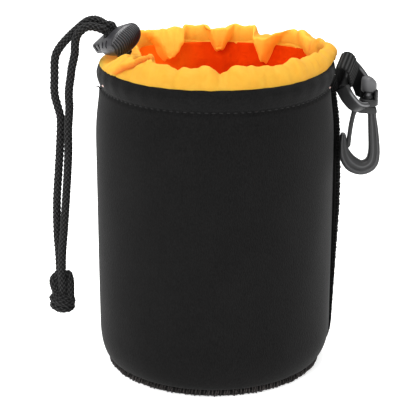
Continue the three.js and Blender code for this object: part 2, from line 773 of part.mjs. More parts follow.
const hubCentre = new THREE.Vector3(swivelX, swivelY, hubTop - hubHeight / 2);
function eyePoint(side, share, bow) {
  const along = crossbarCentre.clone().lerp(hubCentre, share);
  return along.addScaledVector(across, side * bow);
}
function eyeArm(side) {
  const route = new THREE.CatmullRomCurve3([
    eyePoint(side, 0, eyeArmSpread),
    eyePoint(side, 0.3, eyeArmSpread + eyeArmBulge),
    eyePoint(side, 0.65, eyeArmSpread + 0.6 * eyeArmBulge),
    eyePoint(side, 0.9, 0.62 * eyeArmSpread),
    eyePoint(side, 1, 0.3 * hubRadius),
  ]);
  const toHub = hubCentre.clone().sub(crossbarCentre).normalize();
  const faceOut = toHub.clone().cross(across);
  const steps = 8;
  const rows = [];
  const frames = [];
  for (let i = 0; i <= steps; i += 1) {
    const tangent = route.getTangent(i / steps);
    frames.push([route.getPoint(i / steps), tangent.clone().cross(faceOut).normalize()]);
    const [halfThick, halfWide] = [eyeArmThickness / 2, eyeArmWidth / 2];
    const corner = 0.35;
    rows.push([
      new THREE.Vector2(halfThick, halfWide - corner),
      new THREE.Vector2(halfThick - corner, halfWide),
      new THREE.Vector2(corner - halfThick, halfWide),
      new THREE.Vector2(-halfThick, halfWide - corner),
      new THREE.Vector2(-halfThick, corner - halfWide),
      new THREE.Vector2(corner - halfThick, -halfWide),
      new THREE.Vector2(halfThick - corner, -halfWide),
      new THREE.Vector2(halfThick, corner - halfWide),
    ]);
  }
  const place = (index, point) => frames[index][0].clone()
    .addScaledVector(frames[index][1], point.x)
    .addScaledVector(faceOut, point.y);
  return loft(rows, place, false);
}
const crossbar = cylinder(crossbarDiameter / 2, -eyeArmSpread, eyeArmSpread, 16);
crossbar.applyQuaternion(webbingFrame.quaternion);
crossbar.translate(crossbarCentre.x, crossbarCentre.y, crossbarCentre.z);
const onSwivel = (radius, low, high) => cylinder(radius, low, high, 24).translate(swivelX, swivelY, 0);
const hubFoot = hubTop - hubHeight;
const eyeReach = 12;
const hub = onSwivel(hubRadius, hubFoot, hubTop);
const hubRoom = onSwivel(headRadius + stemClearance, hubTop, hubTop + eyeReach);
const hubBore = onSwivel(stemRadius + stemClearance, hubTop - eyeReach, hubTop + eyeReach);
const hookRoom = onSwivel(hubRadius + 6, hubFoot - eyeReach, hubFoot);
const eye = solid(crossbar)
  .add(solid(eyeArm(-1)))
  .add(solid(eyeArm(1)))
  .add(solid(hub))
  .subtract(solid(hubRoom))
  .subtract(solid(hubBore))
  .subtract(solid(hookRoom));
addPiece('snap_eye', surface(eye), blackPlastic);

// Hook: a bar bent in the XZ plane round the swivel axis, with a groove along its front and back

const hookTop = hubTop - hubHeight - seatGap;
const gatePivot = new THREE.Vector2(-gatePivotOffset, hookTop - gatePivotDrop);
const gateSeatRadius = gateEndRadius + seatGap;
const neckDepth = 2.4;

// Middle of the bar from the shoulder round to the tip: x, height over the hook's lowest point, half width
const hookBar = [
  [1.3, hookTop - hookBottom - 0.5, 1.4],
  [1.5, hookTop - hookBottom - 4, 1.5],
  [2.2, 16.4, 1.9],
  [2.7, 8.6, 2.2],
  [1.7, 4.5, 2.5],
  [-1.6, 2.7, 2.7],
  [-5.2, 4.2, 2.6],
  [-7.8, 7.6, 1.95],
  [-8.8, 11.2, 1.1],
  [-9, 15.6, 0.7],
];
const hookPoints = hookBar.map((point) => new THREE.Vector3(...point));
const hookCurve = new THREE.CatmullRomCurve3(hookPoints, false, 'centripetal');
const hookSteps = 20;
const hookSides = [];
const hookRows = [];
for (let i = 0; i <= hookSteps; i += 1) {
  const middle = hookCurve.getPoint(i / hookSteps);
  const tangent = hookCurve.getTangent(i / hookSteps);
  const outward = new THREE.Vector2(-tangent.y, tangent.x).normalize();
  hookSides.push([middle, outward]);
  const [wide, thick] = [middle.z, hookThickness / 2];
  const groove = thick - Math.min(hookGroove, 0.25 * wide);
  const quarter = [[wide, 0.5 * thick], [0.7 * wide, thick], [0.46 * wide, thick], [0.3 * wide, groove]];
  const front = [...quarter, ...quarter.map(([across, deep]) => [-across, deep]).reverse()];
  const ring = [...front, ...front.map(([across, deep]) => [-across, -deep])];
  hookRows.push(ring.map(([across, deep]) => new THREE.Vector2(across, deep)));
}
const hookPlace = (index, point) => {
  const [middle, outward] = hookSides[index];
  return new THREE.Vector3(
    swivelX + middle.x + outward.x * point.x,
    swivelY + point.y,
    hookBottom + middle.y + outward.y * point.x,
  );
};

// Shoulder under the hub, which carries the gate at its free end
const shoulder = new THREE.Shape();
shoulder.moveTo(-gatePivotOffset + 0.4, hookTop);
shoulder.lineTo(2.6, hookTop);
shoulder.quadraticCurveTo(4, hookTop, 4, hookTop - 1.8);
shoulder.lineTo(4, hookTop - neckDepth);
shoulder.lineTo(-gatePivotOffset + 0.4, hookTop - neckDepth);
const upright = (geometry) => geometry.rotateX(Math.PI / 2).translate(swivelX, swivelY, 0);
const gateSeat = cylinder(gateSeatRadius, -hookThickness, hookThickness, 20);
gateSeat.translate(gatePivot.x, gatePivot.y, 0);
const stem = onSwivel(stemRadius, hookTop - 1, hubTop + 1.2);
const headFoot = hubTop + seatGap;
const head = lathe([
  [0, headFoot],
  [headRadius - 0.2, headFoot],
  [headRadius, headFoot + 0.4],
  [headRadius, headFoot + headHeight - 0.9],
  [headRadius - 0.7, headFoot + headHeight],
  [0, headFoot + headHeight],
], 24).translate(swivelX, swivelY, 0);
const hook = solid(loft(hookRows, hookPlace, false))
  .add(solid(upright(plate(shoulder, hookThickness, shoulderRound, 4))))
  .subtract(solid(upright(gateSeat)))
  .add(solid(stem))
  .add(solid(head));
addPiece('snap_hook', surface(hook), blackPlastic);

// Gate: a thin springy arm that closes the hook from inside its tip
const gateTip = new THREE.Vector2(-6.6, hookBottom + 11.4);
const gateSlope = Math.atan2(gateTip.y - gatePivot.y, gateTip.x - gatePivot.x);
const gateHalf = gateThickness / 2;
const gateFlare = Math.asin(gateHalf / gateEndRadius);
const [rootStart, rootEnd] = [gateSlope + gateFlare, gateSlope - gateFlare + 2 * Math.PI];
const gateOutline = new THREE.Shape();
gateOutline.moveTo(gateTip.x + gateHalf * Math.sin(gateSlope), gateTip.y - gateHalf * Math.cos(gateSlope));
gateOutline.absarc(gateTip.x, gateTip.y, gateHalf, gateSlope - Math.PI / 2, gateSlope + Math.PI / 2);
gateOutline.absarc(gatePivot.x, gatePivot.y, gateEndRadius, rootStart, rootEnd);
addPiece('snap_gate', upright(plate(gateOutline, gateWidth, 0.2, 5)), blackPlastic);

export default pouch;
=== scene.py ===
# Lens pouch: a round neoprene case with a gathered nylon mouth, a drawcord with a spring lock
# and a plastic swivel snap on a webbing loop. Sizes below are in millimetres unless a name says
# otherwise, and become metres where a mesh is made.
import math
import bmesh
import bpy
import numpy as np
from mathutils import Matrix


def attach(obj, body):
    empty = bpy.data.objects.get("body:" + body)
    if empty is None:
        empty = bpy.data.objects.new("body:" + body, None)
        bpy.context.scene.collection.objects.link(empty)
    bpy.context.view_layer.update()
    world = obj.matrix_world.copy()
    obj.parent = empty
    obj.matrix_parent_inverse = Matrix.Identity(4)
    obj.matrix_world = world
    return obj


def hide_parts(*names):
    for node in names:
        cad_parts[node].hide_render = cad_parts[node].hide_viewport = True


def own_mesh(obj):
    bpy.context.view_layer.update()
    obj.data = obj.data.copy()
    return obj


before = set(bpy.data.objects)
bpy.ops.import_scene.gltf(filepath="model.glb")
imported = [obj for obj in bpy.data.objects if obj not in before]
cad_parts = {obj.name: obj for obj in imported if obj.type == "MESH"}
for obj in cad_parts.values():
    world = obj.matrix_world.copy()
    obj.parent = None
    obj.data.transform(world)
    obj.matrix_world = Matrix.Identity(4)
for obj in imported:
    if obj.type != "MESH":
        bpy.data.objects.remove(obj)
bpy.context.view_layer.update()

# Studio: a white floor and a white surround as in a catalogue picture, with a broad light over
# the front and one overhead. The camera looks a little down on the front of the pouch.
scene = bpy.context.scene
scene.view_settings.view_transform = "Standard"

half_picture_px, focal_px, look_down = 208, 1380, 0.304
camera_data = bpy.data.cameras.new("camera")
camera_data.angle = 2 * math.atan(half_picture_px / focal_px)
camera = bpy.data.objects.new("camera", camera_data)
camera.location = (-0.0026, -0.509, 0.2204)
camera.rotation_euler = (math.pi / 2 - look_down, 0, 0)
scene.collection.objects.link(camera)
scene.camera = camera


def softbox(name, place, aim, size, watts):
    light = bpy.data.lights.new(name, "AREA")
    light.shape = "DISK"
    light.size = size
    light.energy = watts
    lamp = bpy.data.objects.new(name, light)
    toward = np.array(aim) - np.array(place)
    lamp.location = place
    lamp.rotation_euler = (
        math.acos(-toward[2] / np.linalg.norm(toward)), 0, math.atan2(-toward[0], toward[1]))
    scene.collection.objects.link(lamp)


softbox("front light", (-0.35, -0.75, 0.75), (0, 0, 0.08), 0.5, 5.2)
softbox("top light", (0.05, 0.1, 0.9), (0, 0, 0.1), 0.4, 5.6)


def add_node(tree, kind, inputs=None, **settings):
    """A new node with its settings made and its inputs set or linked."""
    node = tree.nodes.new(kind)
    for key, value in settings.items():
        setattr(node, key, value)
    for key, value in (inputs or {}).items():
        if isinstance(value, bpy.types.NodeSocket):
            tree.links.new(value, node.inputs[key])
        else:
            node.inputs[key].default_value = value
    return node


world = bpy.data.worlds.new("white surround")
world.use_nodes = True
scene.world = world
sky = world.node_tree
white = (1, 1, 1, 1)
seen = add_node(sky, "ShaderNodeBackground", {"Color": white, "Strength": 1.0})
heading = add_node(sky, "ShaderNodeTexCoord")
heading_parts = add_node(sky, "ShaderNodeSeparateXYZ", {0: heading.outputs["Generated"]})
brightness = add_node(sky, "ShaderNodeMapRange", {
    0: heading_parts.outputs[2], 1: -0.2, 2: 0.9, 3: 0.5, 4: 1.0})
shining = add_node(sky, "ShaderNodeBackground", {"Color": white, "Strength": brightness.outputs[0]})
ray = add_node(sky, "ShaderNodeLightPath")
surround = add_node(sky, "ShaderNodeMixShader", {
    0: ray.outputs["Is Camera Ray"], 1: shining.outputs[0], 2: seen.outputs[0]})
sky.links.new(surround.outputs[0], sky.nodes["World Output"].inputs["Surface"])


def grey(value):
    return (value, value, value)


def finish(name, colour, roughness, **sockets):
    """A material with the given constants on its own Principled shader."""
    material = bpy.data.materials.new(name)
    material.use_nodes = True
    shader = material.node_tree.nodes["Principled BSDF"]
    shader.inputs["Base Color"].default_value = (*colour, 1)
    shader.inputs["Roughness"].default_value = roughness
    for key, value in sockets.items():
        shader.inputs[key.replace("_", " ")].default_value = value
    return material, material.node_tree, shader


floor_mesh = bpy.data.meshes.new("floor")
floor_mesh.from_pydata([(-2, -2, 0), (2, -2, 0), (2, 2, 0), (-2, 2, 0)], [], [(0, 1, 2, 3)])
floor = bpy.data.objects.new("floor", floor_mesh)
scene.collection.objects.link(floor)
floor_paint, _, _ = finish("white floor", grey(0.9), 0.9, Specular_IOR_Level=0.0,
                           Emission_Color=white, Emission_Strength=0.6)
floor_mesh.materials.append(floor_paint)

# Wall: a sheet of 3 mm foam neoprene faced with black jersey, closed into a tube by the seam on
# the right. The rim is turned in and held by a row of stitches that draws a groove round it.
# Angles run in degrees from the right, over the back, to the left, where the lock sits.
MM = 0.001
lock_side = 180
base_level, base_radius = 2.9, 41.0
corner_out, corner_rise, corner_power = 4.0, 13, 2.1
stitch_height, stitch_count, stitch_draw = 108.5, 106, 1.6
rim_from, rim_to, rim_draw = 92, 116, 0.9


def bell(value, centre, width):
    return np.exp(-(((value - centre) / width) ** 2))


def turn_bell(angle, centre, width):
    """A bell on a circle of degrees."""
    return bell((angle - centre + 180) % 360 - 180, 0, width)


def ease(value, low, high):
    share = np.clip((value - low) / (high - low), 0, 1)
    return share * share * (3 - 2 * share)


def all_round(steps):
    """Degrees in even steps round a full turn."""
    return np.linspace(0, 360, steps, endpoint=False)


def near_lock(angle):
    """Share of the pull of the lock on the rim."""
    return turn_bell(angle, lock_side, 24)


def base_tuck(angle):
    """How far the front right of the base edge is drawn in."""
    return 0.9 * turn_bell(angle, -30, 42)


def rim_rise(angle):
    """How far the sides of the rim stand above its front and back."""
    return 2.4 * np.cos(np.radians(angle)) ** 4 - 0.7 * near_lock(angle)


def rim_lift(angle, height):
    """How far a place on the wall goes up or down with the rim above it."""
    return rim_rise(angle) * ease(height, rim_from, rim_to)


def slack(angle, height):
    """Slow unevenness of the foam, so the wall is never a true cylinder."""
    turn = np.radians(angle)
    return (
        0.16 * np.sin(2 * turn + 0.024 * height + 0.7)
        + 0.10 * np.sin(3 * turn - 0.05 * height + 2.1)
        + 0.06 * np.sin(7 * turn + 0.06 * height + 4.0)
        + 0.05 * np.sin(11 * turn - 0.09 * height + 1.2)
    )


def wall_outside(angle, height):
    """Radius of the outer face, drawn in at the base corner and at the rim stitches."""
    corner = np.clip((height - base_level) / corner_rise, 0, 1)
    radius = base_radius + corner_out * (1 - (1 - corner) ** corner_power) ** (1 / corner_power)
    radius = radius - base_tuck(angle) * bell(height, 2.5, 6)
    below = stitch_draw * bell(height, stitch_height, 9.5) * (height <= stitch_height)
    above = stitch_draw * bell(height, stitch_height, 3.2) * (height > stitch_height)
    pucker = 0.9 + 0.12 * np.cos(np.radians(angle) * stitch_count)
    groove = 0.6 * pucker * bell(height, stitch_height, 0.9)
    puff = 0.1 * np.sin(np.radians(angle) * 37 + 1.3) * bell(height, 113, 3)
    drawn = rim_draw * near_lock(angle) * ease(height, 108, rim_to)
    uneven = slack(angle, height) * ease(height, 2, 12)
    return radius - below - above - groove - drawn + puff + uneven


def ring_points(angle, radius, height):
    turn = np.radians(angle)
    return np.stack([radius * np.cos(turn), radius * np.sin(turn), height + 0 * turn], -1)


def link_mesh(name, mesh):
    piece = bpy.data.objects.new(name, mesh)
    scene.collection.objects.link(piece)
    return piece


def run_along(path):
    """Length of a path up to each of its points."""
    return np.concatenate([[0], np.cumsum(np.linalg.norm(np.diff(path, axis=0), axis=1))])


def face_out(mesh):
    work = bmesh.new()
    work.from_mesh(mesh)
    bmesh.ops.recalc_face_normals(work, faces=work.faces)
    work.to_mesh(mesh)
    work.free()


def ringed_piece(name, rings, material, ends="capped"):
    """A smooth mesh over rings of points whose ends are capped, joined or open, with a UV map."""
    points = np.array(rings)
    rows, columns, _ = points.shape
    row_count = rows if ends == "joined" else rows - 1
    row, column = np.meshgrid(np.arange(row_count), np.arange(columns), indexing="ij")
    corners = [(row, column), (row, column + 1), (row + 1, column + 1), (row + 1, column)]
    quads = np.stack([(r % rows) * columns + c % columns for r, c in corners], -1).reshape(-1, 4)
    faces = quads.tolist()
    if ends == "capped":
        faces.append(list(range(columns))[::-1])
        faces.append(list(range((rows - 1) * columns, rows * columns)))
    mesh = bpy.data.meshes.new(name)
    mesh.from_pydata((points.reshape(-1, 3) * MM).tolist(), [], faces)
    along = np.linalg.norm(np.diff(points, axis=0, append=points[:1]), axis=2).mean(1)
    across = np.linalg.norm(np.diff(points, axis=1, append=points[:, :1]), axis=2).mean(0)
    along, across = [np.concatenate([[0], np.cumsum(steps)]) * MM for steps in (along, across)]
    flat = np.stack([np.stack([across[c], along[r]], -1) for r, c in corners], -2).reshape(-1, 2)
    layer = mesh.uv_layers.new(name="cloth")
    spare = np.zeros((len(mesh.loops) - len(flat), 2))
    layer.data.foreach_set("uv", np.concatenate([flat, spare]).ravel())
    mesh.materials.append(material)
    mesh.shade_smooth()
    piece = link_mesh(name, mesh)
    if ends != "open":
        face_out(mesh)
    return piece


def surface_group(name, inputs):
    """An empty shader group with number inputs, a Shade and a Height."""
    tree = bpy.data.node_groups.new(name, "ShaderNodeTree")
    for label, value in inputs.items():
        socket = tree.interface.new_socket(label, in_out="INPUT", socket_type="NodeSocketFloat")
        socket.default_value = value
    for label in ("Shade", "Height"):
        tree.interface.new_socket(label, in_out="OUTPUT", socket_type="NodeSocketFloat")
    position = add_node(tree, "ShaderNodeTexCoord").outputs["Object"]
    return tree, tree.nodes.new("NodeGroupInput").outputs, position


def close_group(tree, shade, height):
    add_node(tree, "NodeGroupOutput", {"Shade": shade, "Height": height})


def maths(tree, operation, *values):
    """The result of a sum on numbers or sockets."""
    return add_node(tree, "ShaderNodeMath", dict(enumerate(values)), operation=operation).outputs[0]


def noise(tree, vector, scale, **inputs):
    return add_node(tree, "ShaderNodeTexNoise", {
        "Vector": vector, "Scale": scale, **inputs}).outputs[0]


# Knit grain: fine upright nubs of jersey over slow patches of light and dark.
knit_grain, given, position = surface_group(
    "knit_grain", {"Nubs per Metre": 2200, "Patchiness": 0.3})
upright = add_node(knit_grain, "ShaderNodeMapping", {"Vector": position, "Scale": (1, 1, 0.5)})
nubs = noise(knit_grain, upright.outputs[0], given[0], Detail=2.0, Roughness=0.6)
patches = noise(knit_grain, position, 70.0, Detail=3.0)
patch_share = maths(knit_grain, "MULTIPLY", patches, given[1])
close_group(knit_grain, maths(knit_grain, "ADD", nubs, patch_share), nubs)


def ramped(tree, shader, value, stops, colours):
    """Lets a value pick the base colour between two stops."""
    ramp = add_node(tree, "ShaderNodeValToRGB", {"Fac": value})
    for stop, at, colour in zip(ramp.color_ramp.elements, stops, colours):
        stop.position = at
        stop.color = (*colour, 1)
    tree.links.new(ramp.outputs["Color"], shader.inputs["Base Color"])


def textured(material_parts, group, values, stops, colours, depth):
    """Puts a surface group into a material: its shade picks the colour, its height the bump."""
    material, tree, shader = material_parts
    surface = add_node(tree, "ShaderNodeGroup", node_tree=group)
    for label, value in values.items():
        surface.inputs[label].default_value = value
    if stops:
        ramped(tree, shader, surface.outputs["Shade"], stops, colours)
    bump = add_node(tree, "ShaderNodeBump", {
        "Height": surface.outputs["Height"], "Distance": depth})
    tree.links.new(bump.outputs["Normal"], shader.inputs["Normal"])
    return material


jersey = textured(
    finish("black jersey", grey(0.006), 0.8, Specular_IOR_Level=0.06,
           Sheen_Weight=0.055, Sheen_Roughness=0.45),
    knit_grain, {"Nubs per Metre": 2300, "Patchiness": 0.25}, (0.38, 0.85),
    (grey(0.0024), (0.0080, 0.0079, 0.0078)), 0.00012)

wall_columns = all_round(480)
wall_levels = np.unique(np.concatenate([
    base_level + 12 * np.linspace(0, 1, 15) ** 1.6,
    np.linspace(15, 104, 34),
    np.linspace(104, 114, 29),
]))
outer_rows = [(wall_outside(wall_columns, level), level) for level in wall_levels]
rim_top = [(-0.15, 115.0), (-0.45, 116.0), (-0.95, 116.7), (-1.6, 117.0), (-2.4, 116.8),
           (-3.0, 116.1), (-3.3, 115.0)]
rim_face = wall_outside(wall_columns, 114.0) - 0.15 * near_lock(wall_columns)
rim_rows = [(rim_face + inset, level) for inset, level in rim_top]
wall_inside, pressed_foam = 41.9, 1.5
inner_rows = [
    (np.minimum(wall_inside, wall_outside(wall_columns, level) - pressed_foam), level)
    for level in (112, 108, 104, 95, 80, 50, 20, 8, 4.5, base_level)
]
wall_rows = [
    ring_points(wall_columns, radius, level + rim_lift(wall_columns, level))
    for radius, level in outer_rows + rim_rows + inner_rows]
wall = ringed_piece("neoprene_wall", wall_rows, jersey, ends="joined")
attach(wall, "pouch")
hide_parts("outer_wall")

# Side seam: the two edges of the wall sheet turned out, sewn together in a line close to the wall
# and overlocked along their outer edge. It runs from the base to just under the rim stitches.
seam_foot, seam_top = 4.0, 109.0


def curve_span(a, b, c, d, share):
    """Places between b and c on a smooth curve through a, b, c and d."""
    return b + 0.5 * share * (c - a + share * (
        2 * a - 5 * b + 4 * c - d + share * (3 * b - a - 3 * c + d)))


def smooth_path(points, step, closed=False):
    """Points a set step apart on a smooth curve through the given ones."""
    points = np.array(points, float)
    if closed:
        padded = np.vstack([points[-1:], points, points[:2]])
    else:
        padded = np.vstack([2 * points[0] - points[1], points, 2 * points[-1] - points[-2]])
    share = np.linspace(0, 1, 40, endpoint=False)[:, None]
    spans = [curve_span(*four, share) for four in zip(padded, padded[1:], padded[2:], padded[3:])]
    fine = np.vstack(spans + [padded[-2:-1]])
    length = run_along(fine)
    count = max(int(round(length[-1] / step)), 2)
    at = np.linspace(0, length[-1], count + 1)
    if closed:
        at = at[:-1]
    return np.stack([np.interp(at, length, fine[:, k]) for k in range(fine.shape[1])], -1)


seam_half = [(-1.2, -1.7), (0.1, -1.15), (0.45, -0.95), (1.05, -1.4), (1.65, -1.05), (2.3, -1.45),
             (3.0, -1.1), (3.3, -0.4)]
seam_outline = smooth_path(
    seam_half + [(out, -side) for out, side in seam_half[::-1]], 0.28, closed=True)


def seam_share(level):
    """How proud the seam stands at a height, from full halfway up to almost flush at the base."""
    return np.interp(level, [4, 9, 62, 75, 95, seam_top - 2, seam_top],
                     [0.12, 0.2, 0.88, 0.9, 0.74, 0.7, 0.3])


seam_rows = []
for level in np.linspace(seam_foot, seam_top, 170):
    proud = seam_outline[:, 0] * np.where(seam_outline[:, 0] > 0, seam_share(level), 1)
    out = wall_outside(np.array(0.0), level) + proud
    waver = 0.08 * math.sin(level * 0.9) + 0.06 * math.sin(level * 2.3 + 1)
    seam_rows.append(np.stack([out, seam_outline[:, 1] + waver, np.full(len(out), level)], -1))
seam = ringed_piece("side_seam", seam_rows, jersey)
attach(seam, "pouch")


def tree_with(name, numbers):
    """An empty geometry tree for a path, named numbers and a material, and the path as a curve."""
    tree = bpy.data.node_groups.new(name, "GeometryNodeTree")
    tree.interface.new_socket("Path", in_out="INPUT", socket_type="NodeSocketGeometry")
    for label in numbers:
        tree.interface.new_socket(label, in_out="INPUT", socket_type="NodeSocketFloat")
    tree.interface.new_socket("Thread", in_out="INPUT", socket_type="NodeSocketMaterial")
    tree.interface.new_socket("Sewing", in_out="OUTPUT", socket_type="NodeSocketGeometry")
    given = tree.nodes.new("NodeGroupInput").outputs
    return tree, given, add_node(tree, "GeometryNodeMeshToCurve", {0: given["Path"]}).outputs[0]


def close_tree(tree, sewn, thread):
    """Ends a sewing tree: plain smooth mesh with its thread material."""
    plain = add_node(tree, "GeometryNodeRealizeInstances", {0: sewn})
    smooth = add_node(tree, "GeometryNodeSetShadeSmooth", {0: plain.outputs[0]})
    dyed = add_node(tree, "GeometryNodeSetMaterial", {0: smooth.outputs[0], "Material": thread})
    add_node(tree, "NodeGroupOutput", {0: dyed.outputs[0]})


def evaluated_mesh(piece):
    """A plain mesh of a piece with its modifiers worked out."""
    graph = bpy.context.evaluated_depsgraph_get()
    return bpy.data.meshes.new_from_object(piece.evaluated_get(graph))


def sewn_piece(name, points, tree, values, closed=False):
    """Runs a sewing tree along a path of points and keeps the result as a plain mesh."""
    count = len(points)
    edges = [(i, (i + 1) % count) for i in range(count if closed else count - 1)]
    line = bpy.data.meshes.new(name)
    line.from_pydata((np.array(points) * MM).tolist(), edges, [])
    source = link_mesh(name, line)
    modifier = source.modifiers.new("sewing", "NODES")
    modifier.node_group = tree
    for item in tree.interface.items_tree:
        if item.in_out == "INPUT" and item.name in values:
            modifier[item.identifier] = values[item.name]
    mesh = evaluated_mesh(source)
    source.modifiers.remove(modifier)
    source.data = mesh
    bpy.data.meshes.remove(line)
    mesh.name = name
    return source


# Overlock thread: one yarn carried over and over the edge.
overlock_tree, given, route = tree_with("overlock_thread", ["Thickness"])
yarn = add_node(overlock_tree, "GeometryNodeCurvePrimitiveCircle", {
    "Resolution": 5, "Radius": maths(overlock_tree, "MULTIPLY", given["Thickness"], 0.5)})
swept = add_node(overlock_tree, "GeometryNodeCurveToMesh", {
    "Curve": route, "Profile Curve": yarn.outputs[0], "Fill Caps": True})
close_tree(overlock_tree, swept.outputs[0], given["Thread"])

thread_grain = {"Nubs per Metre": 6000, "Patchiness": 0.2}
thread_black = textured(
    finish("black thread", grey(0.008), 0.7, Specular_IOR_Level=0.15, Sheen_Weight=0.06),
    knit_grain, thread_grain, (0.35, 0.8), (grey(0.004), (0.020, 0.0197, 0.0195)), 0.00005)

lap_pitch, lap_start = 1.35, 4.5
laps = int((seam_top - 1 - lap_start) / lap_pitch)
lap_turn = np.linspace(0, laps * 2 * math.pi, laps * 14)
lap_level = lap_start + lap_turn / (2 * math.pi) * lap_pitch + 0.25 * np.sin(lap_turn)
lap_out = 2.5 + 0.9 * np.cos(lap_turn) + 0.12 * np.cos(lap_turn * 0.37)
lap_path = np.stack([
    wall_outside(np.zeros_like(lap_level), lap_level) + seam_share(lap_level) * lap_out,
    1.52 * np.sin(lap_turn),
    lap_level,
], -1)
overlock = sewn_piece("side_seam_overlock", lap_path, overlock_tree, {
    "Thickness": 0.34 * MM, "Thread": thread_black})
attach(overlock, "pouch")

# Rim stitches: a lockstitch in black polyester round the rim, through both layers of neoprene.
# Each stitch sinks a little into the foam, and stray threads stick out at the left and right.
stitch_tree, given, route = tree_with("lockstitch", ["Pitch", "Length", "Thickness"])
spots = add_node(stitch_tree, "GeometryNodeCurveToPoints", {
    0: route, "Length": given["Pitch"]}, mode="LENGTH")
grain_of_rice = add_node(stitch_tree, "GeometryNodeMeshUVSphere", {
    "Segments": 7, "Rings": 6, "Radius": 0.5})
uneven = add_node(stitch_tree, "FunctionNodeRandomValue", {
    2: 0.86, 3: 1.12, "Seed": 5}, data_type="FLOAT")
size = add_node(stitch_tree, "ShaderNodeCombineXYZ", {
    0: given["Thickness"], 1: given["Thickness"],
    2: maths(stitch_tree, "MULTIPLY", given["Length"], uneven.outputs[1])})
sewn = add_node(stitch_tree, "GeometryNodeInstanceOnPoints", {
    "Points": spots.outputs[0], "Instance": grain_of_rice.outputs[0],
    "Rotation": spots.outputs["Rotation"], "Scale": size.outputs[0]})
close_tree(stitch_tree, sewn.outputs[0], given["Thread"])

stitch_angles = all_round(720)
stitch_path = ring_points(
    stitch_angles,
    wall_outside(stitch_angles + 180 / stitch_count, stitch_height) - 0.02,
    stitch_height + rim_lift(stitch_angles, stitch_height))
stitch_steps = np.diff(stitch_path, axis=0, append=stitch_path[:1])
stitch_length = float(np.linalg.norm(stitch_steps, axis=1).sum())
rim_stitches = sewn_piece("rim_stitches", stitch_path, stitch_tree, {
    "Pitch": stitch_length / stitch_count * MM, "Length": 1.9 * MM, "Thickness": 0.46 * MM,
    "Thread": thread_black}, closed=True)
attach(rim_stitches, "pouch")

thread_pale = textured(
    finish("pale thread", (0.6, 0.4, 0.36), 0.7, Specular_IOR_Level=0.2),
    knit_grain, thread_grain, (0.35, 0.8), ((0.62, 0.38, 0.34), (0.90, 0.72, 0.66)), 0.00005)
# Each stray end: name, stops as angle, distance off the wall and height, thread and thickness.
stray_ends = (
    ("stray_threads_left", [
        (-164, 1.3, 110.6), (-165.5, 0.7, 110.2), (-168, 0.5, 109.8), (-171, 1.0, 110.3),
        (-174, 1.4, 109.6)], thread_black, 0.5),
    ("pale_thread_left", [
        (-159.6, 0.5, 112.0), (-159.2, 1.1, 112.3), (-158.6, 1.15, 112.4), (-158.0, 0.5, 112.3),
    ], thread_pale, 0.75),
    ("pale_thread_right", [
        (-11.5, -0.2, 110.0), (-11.0, 0.35, 110.1), (-10.2, 0.35, 110.0), (-9.6, -0.2, 109.8),
    ], thread_pale, 0.7))
for label, stops, thread, thick in stray_ends:
    angle, off, level = np.array(stops).T
    stray_path = ring_points(angle, wall_outside(angle, stitch_height) + off, level)
    stray_piece = sewn_piece(label, smooth_path(stray_path, 0.15), overlock_tree, {
        "Thickness": thick * MM, "Thread": thread})
    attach(stray_piece, "pouch")

# Base: a disc of the same neoprene under the tube, its edge overlocked to the wall's lower edge,
# so the pouch stands on a slightly knobbly ring of thread.
base_turns = all_round(240)
base_profile = [
    (0.05, 0.35), (12, 0.3), (25, 0.2), (34, 0.1), (39.2, 0.1), (40.8, 0.15), (41.7, 0.45),
    (42.15, 1.1), (42.15, 2.0), (41.7, 2.7), (40.6, 2.9), (39.5, 2.6), (30, 2.6), (15, 2.6),
    (0.05, 2.6)]
edge_from = 36
base_rows = [
    ring_points(base_turns, radius - (0.8 + base_tuck(base_turns)) * (radius > edge_from), level)
    for radius, level in base_profile]
base = ringed_piece("neoprene_base", base_rows, jersey)
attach(base, "pouch")
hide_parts("base_panel")

base_laps = 240
lap_turn = np.linspace(0, base_laps * 2 * math.pi, base_laps * 12, endpoint=False)
lap = lap_turn / (2 * math.pi)
loose_out = 1 + 0.14 * np.sin(2.3 * lap) + 0.13 * np.sin(5.9 * lap + 1.0)
loose_up = 1 + 0.12 * np.sin(3.7 * lap + 2.0) + 0.1 * np.sin(7.1 * lap)
lap_around = np.degrees(
    lap_turn / base_laps + 0.004 * np.sin(lap_turn) + 0.006 * np.sin(4.4 * lap + 0.5))
floor_gap = 0.3
lap_path = ring_points(
    lap_around, 40.7 - base_tuck(lap_around) + 0.9 * loose_out * np.cos(lap_turn),
    np.maximum(1.95 + 1.45 * loose_up * np.sin(lap_turn - 0.5), floor_gap))
thread_fuzzy = textured(
    finish("rubbed thread", (0.02, 0.018, 0.018), 0.8, Specular_IOR_Level=0.1, Sheen_Weight=0.1),
    knit_grain, {"Nubs per Metre": 1500, "Patchiness": 0.4}, (0.5, 0.85),
    (grey(0.004), (0.055, 0.047, 0.045)), 0.0001)
base_overlock = sewn_piece("base_overlock", lap_path, overlock_tree, {
    "Thickness": 0.5 * MM, "Thread": thread_fuzzy}, closed=True)
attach(base_overlock, "pouch")

